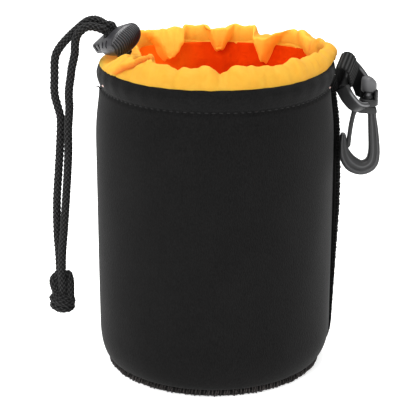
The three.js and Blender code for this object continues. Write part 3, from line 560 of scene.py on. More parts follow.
# Lining: thin nylon down the inside of the wall and over the floor, loose enough to show
# soft upright gathers below the mouth. Its deep orange red is painted shade of the dim inside.
plain_weave, given, position = surface_group(
    "plain_weave", {"Threads per Metre": 5000, "Crinkle": 1.0})
cloth = add_node(plain_weave, "ShaderNodeUVMap", uv_map="cloth")
apart = add_node(plain_weave, "ShaderNodeSeparateXYZ", {0: cloth.outputs[0]})
turns = maths(plain_weave, "MULTIPLY", given[0], math.pi)
warp, weft = [
    maths(plain_weave, "SINE", maths(plain_weave, "MULTIPLY", apart.outputs[axis], turns))
    for axis in (0, 1)]
woven = maths(plain_weave, "MULTIPLY", warp, weft)
creases = noise(plain_weave, position, 260.0, Detail=4.0, Distortion=0.6)
creased = maths(plain_weave, "MULTIPLY", creases, given[1])
close_group(plain_weave, creases, maths(plain_weave, "MULTIPLY_ADD", woven, 0.06, creased))

nylon_weave = {"Threads per Metre": 4500, "Crinkle": 1.0}
# Painted shade: the lining stands for the collar's orange nylon and is coloured a deep red, as that
# nylon looks in the shade inside the pouch.
lining_parts = finish("lining nylon", (0.75, 0.045, 0.0006), 0.75, Specular_IOR_Level=0.03)
lining_cloth = textured(
    lining_parts, plain_weave, nylon_weave, (0.3, 0.7),
    ((0.70, 0.040, 0.0003), (0.80, 0.058, 0.0006)), 0.0006)


def mixed(tree, value, first, second):
    """A colour between two others, by a value."""
    return add_node(tree, "ShaderNodeMix", {0: value, 6: first, 7: second},
                    data_type="RGBA").outputs[2]


def tinted(parts, label, colour):
    """Mixes a colour into a material's own where a value stored on the mesh says so."""
    _, tree, shader = parts
    value = add_node(tree, "ShaderNodeAttribute", attribute_name=label).outputs["Fac"]
    own = shader.inputs["Base Color"].links[0].from_socket
    both = mixed(tree, value, own, (*colour, 1))
    tree.links.new(both, shader.inputs["Base Color"])
    return value, both


def lit_through(parts, value, colour, strength):
    """Paints light into a thin cloth: an emission glow by a stored value, standing in for light
    through it from behind.
    """
    _, tree, shader = parts
    glow = mixed(tree, value, (0, 0, 0, 1), (*colour, 1))
    tree.links.new(glow, shader.inputs["Emission Color"])
    shader.inputs["Emission Strength"].default_value = strength


def mark(piece, label, values):
    """Stores a number for each point of a piece."""
    layer = piece.data.attributes.new(label, "FLOAT", "POINT")
    layer.data.foreach_set("value", np.ravel(values).astype(np.float32))


# Painted light: the lining's left side is painted lighter and more orange and is given a glow.
painted_light_left_value, _ = tinted(lining_parts, "painted_light_left", (1.0, 0.19, 0.006))
lit_through(lining_parts, painted_light_left_value, (1.0, 0.13, 0.004), 0.25)
lining_turns = all_round(240)
lining_radius, cloth_gap = 41.0, 0.4


def lining_inside(angle, height):
    turn = np.radians(angle)
    gathers = (
        np.sin(11 * turn + 0.02 * height + 2.0) + np.sin(17 * turn + 0.4)
        + 0.7 * np.sin(29 * turn + 2.2) + 0.5 * np.sin(41 * turn + 4.1))
    loose = ease(height, 60, 108) * (1 - 0.85 * ease(height, 111, 117.5))
    drawn_in = 0.9 * bell(height, stitch_height, 6) + 1.2 * (1 - ease(height, 4, 12))
    return lining_radius - drawn_in - 0.3 * (1.9 + gathers) * loose


lining_levels = [
    4.0, 6.0, 9.0, 14.0, 22.0, 32.0, 44.0, 56.0, 66.0, 76.0, 84.0, 91.0, 97.0, 102.0, 106.0, 109.0,
    111.5, 113.5, 115.5, 117.2, 118.0]
lining_lift = 0.55 * rim_rise(lining_turns) - 1.8 * turn_bell(lining_turns, lock_side, 30)
lining_rows = [
    ring_points(lining_turns, lining_inside(lining_turns, level) + gap,
                level + lining_lift * ease(level, 95, 118))
    for gap, levels in ((0, lining_levels), (cloth_gap, lining_levels[::-1])) for level in levels]
lining = ringed_piece("wall_lining_cloth", lining_rows, lining_cloth, ends="joined")
# Where the painted light goes: the left side of the lining, from about 92 to 240 degrees.
painted_light_left = ease(lining_turns, 92, 132) - ease(lining_turns, 200, 240)
mark(lining, "painted_light_left", np.tile(painted_light_left, (len(lining_rows), 1)))
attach(lining, "pouch")
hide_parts("wall_lining")

floor_level = 3.55
floor_ripple = 0.25 * np.sin(5 * np.radians(lining_turns))
floor_rows = [
    ring_points(lining_turns, radius, floor_level + floor_ripple * (radius / 38) ** 2)
    for radius in (0.05, 6, 12, 18, 24, 30, 34, 36.5, 37.6)]
floor_rows += [row - np.array([0, 0, cloth_gap]) for row in floor_rows[::-1]]
floor_lining = ringed_piece("base_lining_cloth", floor_rows, lining_cloth)
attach(floor_lining, "pouch")
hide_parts("base_lining")

# Collar: a strip of orange nylon sewn inside the rim, folded over the drawcord into a channel and
# gathered on it. At the back it stands against the rim between folds that fall inwards, at the
# front left the part that is drawn in under the lock laps over the rest.
collar_count = 660
crest_inside, crest_level = 39.7, 123.9
foot_out, foot_level, hem_base, sewn_radius = 43.75, 116.7, 118.2, 41.6


def band(value, rise, fall):
    """One between a rise and a fall, each given by where it starts and ends."""
    return ease(value, *rise) * (1 - ease(value, *fall))


# Columns stand closer where the folds and the lip are.
crowd = np.linspace(-180, 180, 2881)
crowding = (1 + 1.3 * (ease(crowd, 28, 36) - ease(crowd, 132, 140))
            + 1.1 * (ease(crowd, -156, -150) - ease(crowd, -122, -116)))
crowded = np.concatenate([[0], np.cumsum(0.5 * (crowding[1:] + crowding[:-1]))])
collar_turns = np.interp(
    np.linspace(0, crowded[-1], collar_count, endpoint=False), crowded, crowd)
collar_radians = np.radians(collar_turns)
rise = rim_rise(collar_turns)
drawn_rim = rim_draw * near_lock(collar_turns)
pull = 11.5 * turn_bell(collar_turns, lock_side, np.where(collar_turns > 0, 32, 24))
drop = 4.7 * turn_bell(collar_turns, lock_side, 23)
back = ease(np.sin(collar_radians), 0.05, 0.55)
overhang = turn_bell(collar_turns, 3, 24)


def span(low, high, low_soft, high_soft):
    """One inside a range of degrees and nothing outside it, with a softness for each end."""
    return band(collar_turns, (low - low_soft, low + low_soft), (high - high_soft, high + high_soft))


# Each fold: range at the top, range at the tip, softness of both ends at the top and at the tip,
# inward at top and tip, down at top and tip, and the bow of its first edge.
folds = [
    ((107.2, 134), (116.5, 123.5), ((1.2, 6), (4.0, 4)), (2.4, 6.4), (0.6, 4.8), 3.0),
    ((80.5, 94.5), (83.6, 90.4), ((2.0, 1.6), (2.4, 2.0)), (6.0, 5.6), (0.7, 2.6), 1.3),
    ((50, 66), (56.0, 62.5), ((7.5, 2.0), (3.0, 6.0)), (7.2, 6.6), (3.4, 6.8), 1.0),
    ((18, 34), (16, 28), ((1.1, 7), (1.6, 6)), (1.7, 2.6), (1.3, 2.0), 1.0),
    ((-44, -30), (-40, -33), ((4, 4), (4, 4)), (0.8, 2.0), (0.5, 1.0), 1.0),
]
# Each notch of the front crest: place, degrees to each side, inward and down.
notches = [(-87.5, 6, 1.2, 2.6), (-110, 4.5, 1.0, 1.8), (-61, 6, 0.8, 1.0), (-51, 5, 0.6, 0.7)]
rolled = span(-135, -123.6, 6, 1.3)
fluting = 0.22 * np.sin(collar_radians * 23 + 1.0) + 0.16 * np.sin(collar_radians * 41 + 2.0)
crest_base = crest_inside + 2.6 * back + 2.2 * overhang * (1 - back) - pull - 0.9 * rolled
crest_height = crest_level + 0.8 * rise - drop + 0.9 * back - 1.7 * overhang + 1.1 * rolled + fluting
for centre, width, inward, down in notches:
    cut = np.clip(1 - np.abs(collar_turns - centre) / width, 0, 1) ** 1.3
    crest_base = crest_base - inward * cut
    crest_height = crest_height - down * cut


def part_way(ends, share):
    return ends[0] + (ends[1] - ends[0]) * share


def folded(share):
    """Inward and down of all folds at a share of the way from the crest to the hem."""
    inward = np.zeros_like(collar_turns)
    down = np.zeros_like(collar_turns)
    for top, tip, soft, inwards, downs, bow in folds:
        low = part_way((top[0], tip[0]), share ** bow)
        high = part_way((top[1], tip[1]), share)
        inside = span(low, high, *[part_way(ends, share) for ends in zip(*soft)])
        inward = inward + part_way(inwards, share) * inside
        down = down + part_way(downs, share) * inside
    return inward, down


crest_in, crest_down = folded(0)
foot_radius = foot_out - drawn_rim
foot_frill = 0.3 * np.sin(collar_radians * 90) * turn_bell(collar_turns, -147, 8)
foot_height = foot_level + rise + foot_frill
hem_height = (hem_base + 0.55 * rise - 1.5 * turn_bell(collar_turns, lock_side, 30)
              + 0.5 * back * np.sin(collar_radians * 17 + 1.2))
fullness = 1 - 0.85 * turn_bell(collar_turns, lock_side, 22)


def outer_face(share, bulge, follow):
    """A place on the way from the rim to the crest, pushed out, that follows the folds in part."""
    radius = part_way((foot_radius, crest_base - follow * crest_in), share) + bulge * fullness
    level = part_way((foot_height, crest_height - follow * crest_down), share)
    return radius + 0.9 * overhang * math.sin(math.pi * share), level


def inner_face(share, inset):
    """A place on the way from the crest to the hem, on the side that faces the mouth."""
    inward, down = folded(share)
    radius = np.minimum(crest_base - inset, 41.7) - inward
    return radius, part_way((crest_height, hem_height), share) - down


hem_radius, hem_level = inner_face(1.0, 0.2)
hem_radius = hem_radius + 0.35 * np.clip(41.2 - hem_radius, 0, 20) * (1 - back) - 0.45 * back
collar_profile = [
    (42.6 - drawn_rim, 114.6 + rise),
    (foot_radius - 0.4, foot_height - 0.7),
    (foot_radius, foot_height + 0.2),
    *[outer_face(*place) for place in ((0.3, 1.1, 0), (0.62, 1.6, 0.2), (0.88, 1.2, 0.65))],
    (crest_base - crest_in, crest_height - crest_down),
    *[inner_face(*place) for place in (
        (0.1, 0.75), (0.3, 1.15), (0.55, 1.3), (0.8, 1.1), (0.92, 0.8))],
    (hem_radius, hem_level),
    (0.45 * hem_radius + 0.55 * sewn_radius, hem_level - 0.9),
    (sewn_radius, hem_level - 3.2),
    (sewn_radius, 111.0),
]
knots = np.stack([np.stack([r + 0 * rise, z + 0 * rise], -1) for r, z in collar_profile])
padded = np.concatenate([2 * knots[:1] - knots[1:2], knots, 2 * knots[-1:] - knots[-2:-1]])
profile_rows = [
    curve_span(*padded[i:i + 4], share)
    for i in range(len(knots) - 1) for share in np.linspace(0, 1, 4, endpoint=False)]
profile_rows.append(knots[-1])
collar_points = np.stack([ring_points(collar_turns, *row.T) for row in profile_rows])

# Lip where the part of the collar that is drawn under the lock laps over its front end.
lip_proud, lip_dent, lip_edge, lip_reach = 1.6, 1.2, 0.3, 6
lip_start, lip_sweep = -148, 23
row_share = np.linspace(0, 1, len(profile_rows))[:, None]
fold_share = np.clip((row_share - 0.133) / 0.267, 0, 1)
past = collar_turns[None, :] - (lip_start + lip_sweep * fold_share ** 1.3)
lip = lip_proud / (1 + np.exp(np.clip(past, -60, 60) / lip_edge))
lip = lip * np.exp(np.clip(past, None, 0) / lip_reach) - lip_dent * bell(past, 1.9, 1.7)
lip = lip * band(row_share, (0.12, 0.22), (0.4, 0.5))
turn = collar_radians[None, :]
gathers = (
    np.sin(47 * turn + 9 * row_share) + 0.8 * np.sin(73 * turn - 7 * row_share + 1.1)
    + 0.6 * np.sin(101 * turn + 2.7) + 0.9 * np.sin(31 * turn + 5 * row_share + 0.4))
waves = (
    np.sin(9 * turn + 3 * row_share + 0.6) + np.sin(14 * turn - 5 * row_share + 2.0)
    + np.sin(22 * turn + 6 * row_share + 4.4))
gathered = (0.1 * gathers + 0.2 * waves) * ease(row_share, 0.1, 0.22)


def unit(vectors):
    return vectors / np.linalg.norm(vectors, axis=-1, keepdims=True)


around = np.roll(collar_points, -1, axis=1) - np.roll(collar_points, 1, axis=1)
facing = unit(np.cross(around, np.gradient(collar_points, axis=0)))
collar_points = collar_points + (lip + gathered)[..., None] * facing

collar_parts = finish(
    "orange nylon", (0.95, 0.52, 0.05), 0.5, Specular_IOR_Level=0.25, Sheen_Weight=0.05)
collar_cloth = textured(
    collar_parts, plain_weave, nylon_weave, (0.3, 0.7),
    ((0.92, 0.56, 0.052), (0.96, 0.63, 0.07)), 0.0005)
# Painted shade: where marked, the collar is coloured a deeper red, standing in for the shade in its
# creases and cavity.
tinted(collar_parts, "painted_crease_shade", (0.85, 0.16, 0.002))
# Painted light: a paler orange and a glow, standing in for light through the thin cloth from behind
# and lifting the flap beside the lock out of its shadow.
painted_glow_value, cloth_colour = tinted(collar_parts, "inside", (1.0, 0.72, 0.10))
lit_through(collar_parts, painted_glow_value, (1.0, 0.42, 0.04), 0.28)
_, collar_tree, collar_shader = collar_parts
thin = add_node(collar_tree, "ShaderNodeBsdfTranslucent", {"Color": cloth_colour})
through = add_node(collar_tree, "ShaderNodeMixShader", {
    0: 0.55, 1: collar_shader.outputs[0], 2: thin.outputs[0]})
collar_tree.links.new(through.outputs[0], collar_tree.nodes["Material Output"].inputs["Surface"])

collar = ringed_piece("gathered_collar", collar_points, collar_cloth, ends="open")
# Where the painted shade goes: the crease beside the lip, the edge of the right lobe and low on the
# back's inner face.
painted_crease_shade = bell(past, 0.9, 1.3) * band(row_share, (0.14, 0.18), (0.38, 0.46))
lobe_edge = bell(collar_turns[None, :], 19.5, 2.6)
painted_crease_shade = painted_crease_shade + 0.6 * lobe_edge * band(row_share, (0.36, 0.42), (0.6, 0.75))
mark(collar, "painted_crease_shade", painted_crease_shade + 0.4 * ease(row_share, 0.58, 0.78) * back[None, :])
# Where the painted light goes: the inner face at the back and the outer face beside the lock.
beside_lock = turn_bell(collar_turns, lock_side, 30)[None, :]
inside = ease(row_share, 0.36, 0.44) * back[None, :]
mark(collar, "inside", inside + beside_lock * band(row_share, (0.1, 0.16), (0.4, 0.5)))
thickness = collar.modifiers.new("cloth thickness", "SOLIDIFY")
thickness.thickness = 0.3 * MM
thickness.offset = 0
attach(collar, "pouch")
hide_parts("drawstring_collar")

# Drawcord: one braided black cord through the collar's channel. Both ends come up out of it at
# the left, go through the lock, bend over and hang side by side down to the knot.
cord_diameter, cord_squeeze = 3.1, 0.7
braid_lay, braid_pairs, braid_sunk, braid_proud = 1.9, 6, 0.36, 0.5
lock_centre = np.array([-35.3, -2.0, 126.6])
cord_up = np.array([-0.50785, -0.15296, 0.84776])
plunger_out = np.array([0.61815, -0.75012, 0.23497])
lock_across = np.cross(cord_up, plunger_out)
cord_place, strand_aside = -2.2, 1.75


def lock_point(along, across, up):
    """A place given in the lock's own directions."""
    return lock_centre + np.multiply.outer(along, plunger_out) + np.multiply.outer(
        across, lock_across) + np.multiply.outer(up, cord_up)


def strand(side, *ups):
    """Places on one of the two strands in the lock."""
    return [lock_point(cord_place, side * strand_aside, up) for up in ups]


def full_turn(steps):
    return np.linspace(0, 2 * math.pi, steps, endpoint=False)


def frames_along(path, side):
    """Two directions across the path at each of its points, carried on without twist."""
    ahead = unit(np.gradient(path, axis=0))
    across = np.array(side, float)
    carried = []
    for step in ahead:
        across = unit(across - step * (across @ step))
        carried.append(across)
    return np.array(carried), np.cross(ahead, np.array(carried))


def braided(path, radius, sides=48):
    """Rings of a twelve-strand braid round a path, and how far each point stands proud."""
    first, second = frames_along(path, (0, -1, 0))
    run = run_along(path)[:, None]
    turn = full_turn(sides)[None, :]
    lay = 2 * math.pi * run / braid_lay
    place = braid_pairs * turn
    right = (0.5 + 0.5 * np.cos(place + lay)) * (1 + 0.5 * np.cos(place))
    left = (0.5 + 0.5 * np.cos(place - lay)) * (1 - 0.5 * np.cos(place))
    proud = np.maximum(right, left) / 1.5
    ends = np.minimum(run, run[-1] - run)
    ring = (radius - braid_sunk + braid_proud * proud) * np.sqrt(np.clip(ends / 0.5, 0.1, 1))
    points = path[:, None, :] + ring[..., None] * (
        np.cos(turn)[..., None] * first[:, None, :] + np.sin(turn)[..., None] * second[:, None, :])
    return points, proud


braid_parts = finish("black braid", grey(0.01), 0.75, Specular_IOR_Level=0.2,
                     Sheen_Weight=0.06, Sheen_Roughness=0.4)
braid_cloth, braid_tree, braid_shader = braid_parts
# Painted light and shade: the braid is coloured darker in the gaps between strands and lighter on
# their crests.
braid_light_and_shade = add_node(braid_tree, "ShaderNodeAttribute", attribute_name="proud")
ramped(braid_tree, braid_shader, braid_light_and_shade.outputs["Fac"], (0.45, 0.98), (grey(0.0009), grey(0.038)))
textured(braid_parts, knit_grain, {"Nubs per Metre": 5000}, None, None, 0.0001)


def joined(parts):
    """Makes one object of several meshes."""
    if len(parts) > 1:
        with bpy.context.temp_override(active_object=parts[0], selected_editable_objects=parts):
            bpy.ops.object.join()
    return parts[0]


def braided_piece(name, paths, radius):
    """One mesh of one or more braided lengths."""
    meshes = []
    for path in paths:
        points, proud = braided(path, radius)
        meshes.append(ringed_piece(name, points, braid_cloth))
        mark(meshes[-1], "proud", proud)
    return joined(meshes)


# In the channel the gathers squeeze the cord a little, midway between the two faces. It sags under
# the lock, the notches, the right lobe and the deepest fold.
channel_inside, channel_room, channel_level = 40.5, 2.2, 120.4
channel_turns = np.linspace(-169, 169, 90)
roomy = ease(np.sin(np.radians(channel_turns)), -0.1, 0.5)
channel_pull = 7.6 * turn_bell(channel_turns, lock_side, np.where(channel_turns > 0, 35, 26))
channel_radius = (channel_inside + channel_room * roomy - channel_pull
                  + 1.8 * turn_bell(channel_turns, 0, 22))
channel_radius = channel_radius - 0.5 * turn_bell(channel_turns, -138, 11)
channel_height = channel_level + 0.8 * rim_rise(channel_turns)
for centre, width, sag in (
        (lock_side, 22, 3.4), (-87.5, 8, 2.0), (-110, 7, 1.2), (3, 24, 0.9), (58, 10, 0.8)):
    channel_height = channel_height - sag * turn_bell(channel_turns, centre, width)
channel = ring_points(channel_turns, channel_radius, channel_height)
loop_step = 0.3
loop_route = smooth_path(
    [*strand(-1, 5.3, 0, -4.6, -6.2), *channel, *strand(1, -6.2, -4.6, 0, 5.3)], loop_step)
loop_run = np.arange(len(loop_route)) * loop_step
squeezed = ease(np.minimum(loop_run, loop_run[-1] - loop_run), 9, 16)[:, None]
loop = braided_piece(
    "drawcord_in_channel", [loop_route], cord_diameter / 2 - cord_squeeze * squeezed)
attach(loop, "pouch")
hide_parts("drawcord_loop")

front_tail_route = [
    *strand(-1, 4.6, 5.8), (-41.9, -3.9, 131.1), (-43.5, -4.2, 131.7), (-45.3, -4.4, 132.1),
    (-47.1, -4.6, 132), (-48.9, -4.7, 131), (-50.8, -4.6, 128.9), (-51.7, -4.6, 125.6),
    (-51.9, -4.6, 122.3), (-52.5, -4.6, 119.5), (-53.2, -4.6, 116.6), (-53.7, -4.6, 113.2),
    (-54.3, -4.7, 109.6), (-54.6, -4.7, 105.9), (-54.5, -4.7, 102), (-54.8, -4.7, 98),
    (-55.2, -4.7, 93.2), (-55.4, -4.7, 85.2), (-55.9, -4.7, 77.3), (-56.9, -4.8, 65.4),
    (-58, -4.8, 53.3), (-59, -4.8, 43.7), (-59.4, -4.8, 34)]
rear_tail_route = [
    *strand(1, 4.6, 5.8), (-40.3, -1, 132.2), (-42, -1, 133.2), (-43.7, -1, 133.9),
    (-45.5, -1, 134), (-47.8, -1, 133.2), (-50.8, -0.8, 130.8), (-54.1, -0.9, 127.8),
    (-57, -1, 124.7), (-59, -1.1, 121.7), (-59.8, -1.1, 118.8), (-60, -1.2, 115.6),
    (-60.1, -1.3, 111.8), (-60.3, -1.4, 108.7), (-60.1, -1.5, 105.1), (-59.2, -1.5, 101.3),
    (-58.3, -1.5, 97.2), (-58.4, -1.5, 92.4), (-59, -1.5, 84.1), (-59.7, -1.5, 76),
    (-60.7, -1.5, 64.3), (-61, -1.5, 52), (-60.6, -1.5, 41.8), (-60.5, -1.5, 33.7)]

# Knot: both ends tied together in one overhand knot and pulled tight, with a cut end showing.
knot_lengths = [
    [(-59.3, -4.9, 36), (-59.2, -5.2, 32), (-59.3, -5, 28.5), (-59.8, -4, 25.5), (-60.5, -2.8, 23.5)],
    [(-60.8, -2.2, 36), (-61, -2.8, 32), (-61, -3, 28.5), (-60.6, -2.5, 25.5)],
    [(-60.8, -1.2, 33), (-62.3, -2.2, 33.2), (-63, -3.4, 31.6), (-62.1, -4.0, 28.4),
     (-61.6, -5.0, 26.8), (-60.2, -5.9, 25.8), (-57.8, -5.6, 25.2), (-56.3, -4.4, 24.6)],
    [(-58.2, -1.2, 34), (-57.2, -2.4, 34.4), (-56.5, -3.5, 32.4), (-56.4, -4.2, 29.8),
     (-56.4, -4.6, 26.8), (-56.5, -4.4, 23.6), (-57.4, -3.6, 21.8), (-59.4, -3, 21.2)],
    [(-56.2, -1.6, 23.8), (-56.3, -4.6, 23.6), (-58.2, -6.4, 23.9), (-60.6, -6.6, 24.6),
     (-62.7, -5.2, 25.2), (-63.1, -3, 25), (-61.8, -1.2, 24.6)],
    [(-56.4, -1.8, 21.4), (-56.6, -4.4, 21.4), (-58.4, -6, 21.4), (-60.6, -6.2, 21.7),
     (-62.6, -5, 22.3), (-63, -3, 22.5), (-61.8, -1.2, 22.2)],
    [(-57.6, -3.2, 21), (-59.4, -4.4, 20.7), (-61.4, -4.2, 21.1), (-62.2, -2.8, 21.5)],
    [(-60.4, -0.8, 32), (-59.6, -0.8, 28), (-59, -0.9, 25), (-59.4, -1, 22)],
    [(-57.2, -4.4, 24), (-55.6, -4.2, 24), (-54.6, -4, 23.8)],
]
knot_paths = [smooth_path(length, 0.2) for length in knot_lengths]
knot = braided_piece("drawcord_overhand_knot", knot_paths, 1.6)
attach(knot, "pouch")
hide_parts("drawcord_knot")

for name, route, node in (
        ("drawcord_front_end", front_tail_route, "drawcord_tail_front"),
        ("drawcord_rear_end", rear_tail_route, "drawcord_tail_rear")):
    path = smooth_path(route, 0.17)
    end = braided_piece(name, [path], cord_diameter / 2)
    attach(end, "pouch")
    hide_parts(node)

# Lock barrel: an oval barrel moulded in black plastic, its thumb end domed and finely ribbed. A
# slot through it takes both strands, a bay behind takes the plunger and a pocket ahead the spring.
lock_back, lock_nose, lock_tip = -5.0, 4.0, 7.9
lock_half_width, lock_half_height, oval_power = 7.5, 4.5, 2.3
rib_pitch, rib_depth, rib_slant = 0.87, 0.42, 0.12
past_lock = 9


def crisp(piece, degrees=38):
    """Smooth faces with sharp edges kept where the surface turns."""
    piece.data.shade_smooth()
    piece.data.set_sharp_from_angle(angle=math.radians(degrees))
    return piece


def carved(piece, cutters):
    """Cuts closed meshes out of a piece and keeps the result as a plain mesh."""
    for cutter in cutters:
        cut = piece.modifiers.new("cut", "BOOLEAN")
        cut.operation = "DIFFERENCE"
        cut.solver = "EXACT"
        cut.object = cutter
    mesh = evaluated_mesh(piece)
    piece.modifiers.clear()
    piece.data = mesh
    for cutter in cutters:
        bpy.data.objects.remove(cutter)
    return crisp(piece)


# Moulded skin: fine spark texture of the tool with rubbed and dusty patches.
moulded_skin, given, position = surface_group(
    "moulded_skin", {"Grain per Metre": 3500, "Scuff": 0.5})
sparks = noise(moulded_skin, position, given[0], Detail=3.0)
drawn = add_node(moulded_skin, "ShaderNodeMapping", {
    "Vector": position, "Rotation": (0.5, 0.3, 0.8), "Scale": (1, 1, 0.25)})
rubs = noise(moulded_skin, drawn.outputs[0], 420.0, Detail=5.0, Roughness=0.65)
scuffed = maths(moulded_skin, "MULTIPLY", rubs, given[1])
close_group(moulded_skin, maths(moulded_skin, "MULTIPLY_ADD", sparks, 0.35, scuffed), sparks)

lock_parts = finish("lock plastic", (0.03, 0.03, 0.033), 0.42, Specular_IOR_Level=0.5)
lock_plastic = textured(
    lock_parts, moulded_skin, {"Grain per Metre": 2600, "Scuff": 0.7}, (0.35, 0.7),
    ((0.019, 0.0188, 0.0212), (0.046, 0.0453, 0.0505)), 0.00003)
# Painted shade: the rib grooves are coloured darker where shade falls in them, and also made rougher.
rib_groove_shade, _ = tinted(lock_parts, "groove", (0.004, 0.004, 0.0042))
groove_matt = add_node(lock_parts[1], "ShaderNodeMapRange", {0: rib_groove_shade, 3: 0.4, 4: 0.95})
lock_parts[1].links.new(groove_matt.outputs[0], lock_parts[2].inputs["Roughness"])


def barrel_row(across):
    """Outline of the barrel at one place across it: back, underside, ribbed dome and top."""
    share = abs(across) / lock_half_width
    height = lock_half_height * max(1 - share ** oval_power, 0.004) ** (1 / oval_power)
    dome = (lock_tip - lock_nose) * max(1 - share ** 2, 0) ** 0.6
    corner = min(0.5, 0.4 * height)
    side = [(lock_back, height - corner), (lock_back + 0.15 * corner, height - 0.35 * corner),
            (lock_back + corner, height)]
    side += [(x, height) for x in np.linspace(lock_back + 1.2, lock_nose - 0.35, 7)]
    side += [(lock_nose - 0.1, 1.012 * height), (lock_nose + 0.12, 0.995 * height),
             (lock_nose + 0.1, 0.955 * height)]
    rise = np.linspace(-0.93, 0.93, 37)
    slanted = 0.96 * across - rib_slant * rise * height
    rib = (0.5 - 0.5 * np.cos(2 * math.pi * slanted / rib_pitch)) ** 0.7
    rib = rib * ease(0.95 - np.abs(rise), 0, 0.08) * ease(0.8 - rise, 0, 0.05)
    rib = rib * min(rib_depth, 0.25 * dome)
    cap = lock_nose + dome * (1 - np.abs(rise) ** 1.9) - rib - min(0.3, 0.2 * dome)
    depth = np.concatenate([np.zeros(len(side)), rib, np.zeros(len(side))])
    outline = [(x, -y) for x, y in side] + list(zip(cap, rise * height)) + side[::-1]
    return np.array(outline), depth / rib_depth


barrel_rows, barrel_depths = [], []
for across in np.linspace(-0.995, 0.995, 171) * lock_half_width:
    outline, depth = barrel_row(across)
    behind = np.clip((lock_nose - outline[:, 0]) / (lock_nose - lock_back), 0, None)
    taper = 1 - 0.15 * behind ** 2
    barrel_rows.append(lock_point(outline[:, 0], taper * across, taper * outline[:, 1]))
    barrel_depths.append(depth)
barrel = ringed_piece("cord_lock_barrel", barrel_rows, lock_plastic)
# Marks the rib grooves for the painted shade.
mark(barrel, "groove", barrel_depths)


def lock_block(low, high):
    """A block in the lock's own directions, to cut with."""
    corners = [lock_point(x, y, z) * MM for x in (low[0], high[0]) for y in (low[1], high[1])
               for z in (low[2], high[2])]
    mesh = bpy.data.meshes.new("cutter")
    mesh.from_pydata([tuple(corner) for corner in corners], [], [
        (0, 1, 3, 2), (4, 6, 7, 5), (0, 4, 5, 1), (2, 3, 7, 6), (0, 2, 6, 4), (1, 5, 7, 3)])
    return link_mesh("cutter", mesh)


def side_slots(places, half_length, start, low, high):
    """Blocks for short slots in both sides, at places along the lock."""
    blocks = []
    for along in places:
        for near, far in ((-past_lock, -start), (start, past_lock)):
            blocks.append(lock_block(
                (along - half_length, near, low), (along + half_length, far, high)))
    return blocks


def slot_cutter(back, front):
    """Slot with round ends round both strands, longer along the plunger by the given amounts."""
    turn = full_turn(48)
    round_end, half_length, half_width = 1.4, 1.55, 3.6
    along = np.where(
        np.cos(turn) > 0, half_length + front - round_end, round_end - half_length - back)
    across = np.where(np.sin(turn) > 0, half_width - round_end, round_end - half_width)
    along, across = cord_place + along + round_end * np.cos(turn), across + round_end * np.sin(turn)
    rows = [lock_point(along, across, end) for end in (-past_lock, past_lock)]
    return ringed_piece("cutter", rows, lock_plastic)


spin, pocket_radius = full_turn(32), 1.75
pocket = [lock_point(end, pocket_radius * np.cos(spin), pocket_radius * np.sin(spin))
          for end in (3.0, 5.45)]
barrel = carved(barrel, [
    lock_block((-past_lock, -4.7, -2.5), (3.45, 4.7, 2.5)),
    ringed_piece("cutter", pocket, lock_plastic),
    slot_cutter(0.3, 0.3),
    *side_slots((-2.4, 0.4), 0.45, 5.0, 1.3, 3.5),
])
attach(barrel, "cord_lock")
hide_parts("cord_lock_body")

# Plunger: a flat black button that slides into the back of the barrel. A slot through it lines up
# with the barrel's when it is pressed, and small slots in its edges give the fingers grip.
plunger_half_width, plunger_half_height = 4.4, 2.2


def rounded_square(steps, power):
    """A square with soft corners, as two rows of values from -1 to 1."""
    turn = full_turn(steps)
    return [np.sign(wave) * np.abs(wave) ** power for wave in (np.cos(turn), np.sin(turn))]


plunger_wide, plunger_high = rounded_square(56, 0.28)
plunger_rows = []
for along, share in ((0.95, 0.93), (0.8, 0.97), (0.4, 1), (-4, 1), (-8, 1), (-11.0, 1),
                     (-11.6, 0.985), (-11.9, 0.95), (-12, 0.9)):
    half_width = plunger_half_width - plunger_half_height * (1 - share)
    plunger_rows.append(lock_point(
        along, half_width * plunger_wide, plunger_half_height * share * plunger_high))
button = ringed_piece("cord_lock_button", plunger_rows, lock_plastic)
button = carved(button, [slot_cutter(2.5, 0.3), *side_slots((-10.2, -7.9), 0.5, 2.6, -0.6, 1.8)])
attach(button, "lock_plunger")
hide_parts("cord_lock_plunger")

# Spring: a short coil of drawn steel wire between the plunger and the end of its pocket, which
# closes up when the plunger is pressed.
coil_radius, coil_turns, coil_steps = 1.25, 3.5, 113
wire_steel = textured(
    finish("spring wire", grey(0.5), 0.3, Metallic=1.0),
    moulded_skin, {"Grain per Metre": 9000, "Scuff": 0.6}, (0.35, 0.7),
    ((0.40, 0.40, 0.41), (0.62, 0.62, 0.63)), 0.00001)
coil_turn = np.linspace(0, coil_turns * 2 * math.pi, coil_steps)
coil_path = lock_point(np.linspace(1.2, 5.2, coil_steps),
                       coil_radius * np.cos(coil_turn), coil_radius * np.sin(coil_turn))
spring = sewn_piece("cord_lock_spring_coil", coil_path, overlock_tree, {
    "Thickness": 0.4 * MM, "Thread": wire_steel})
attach(spring, "cord_lock")
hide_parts("cord_lock_spring")
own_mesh(spring)

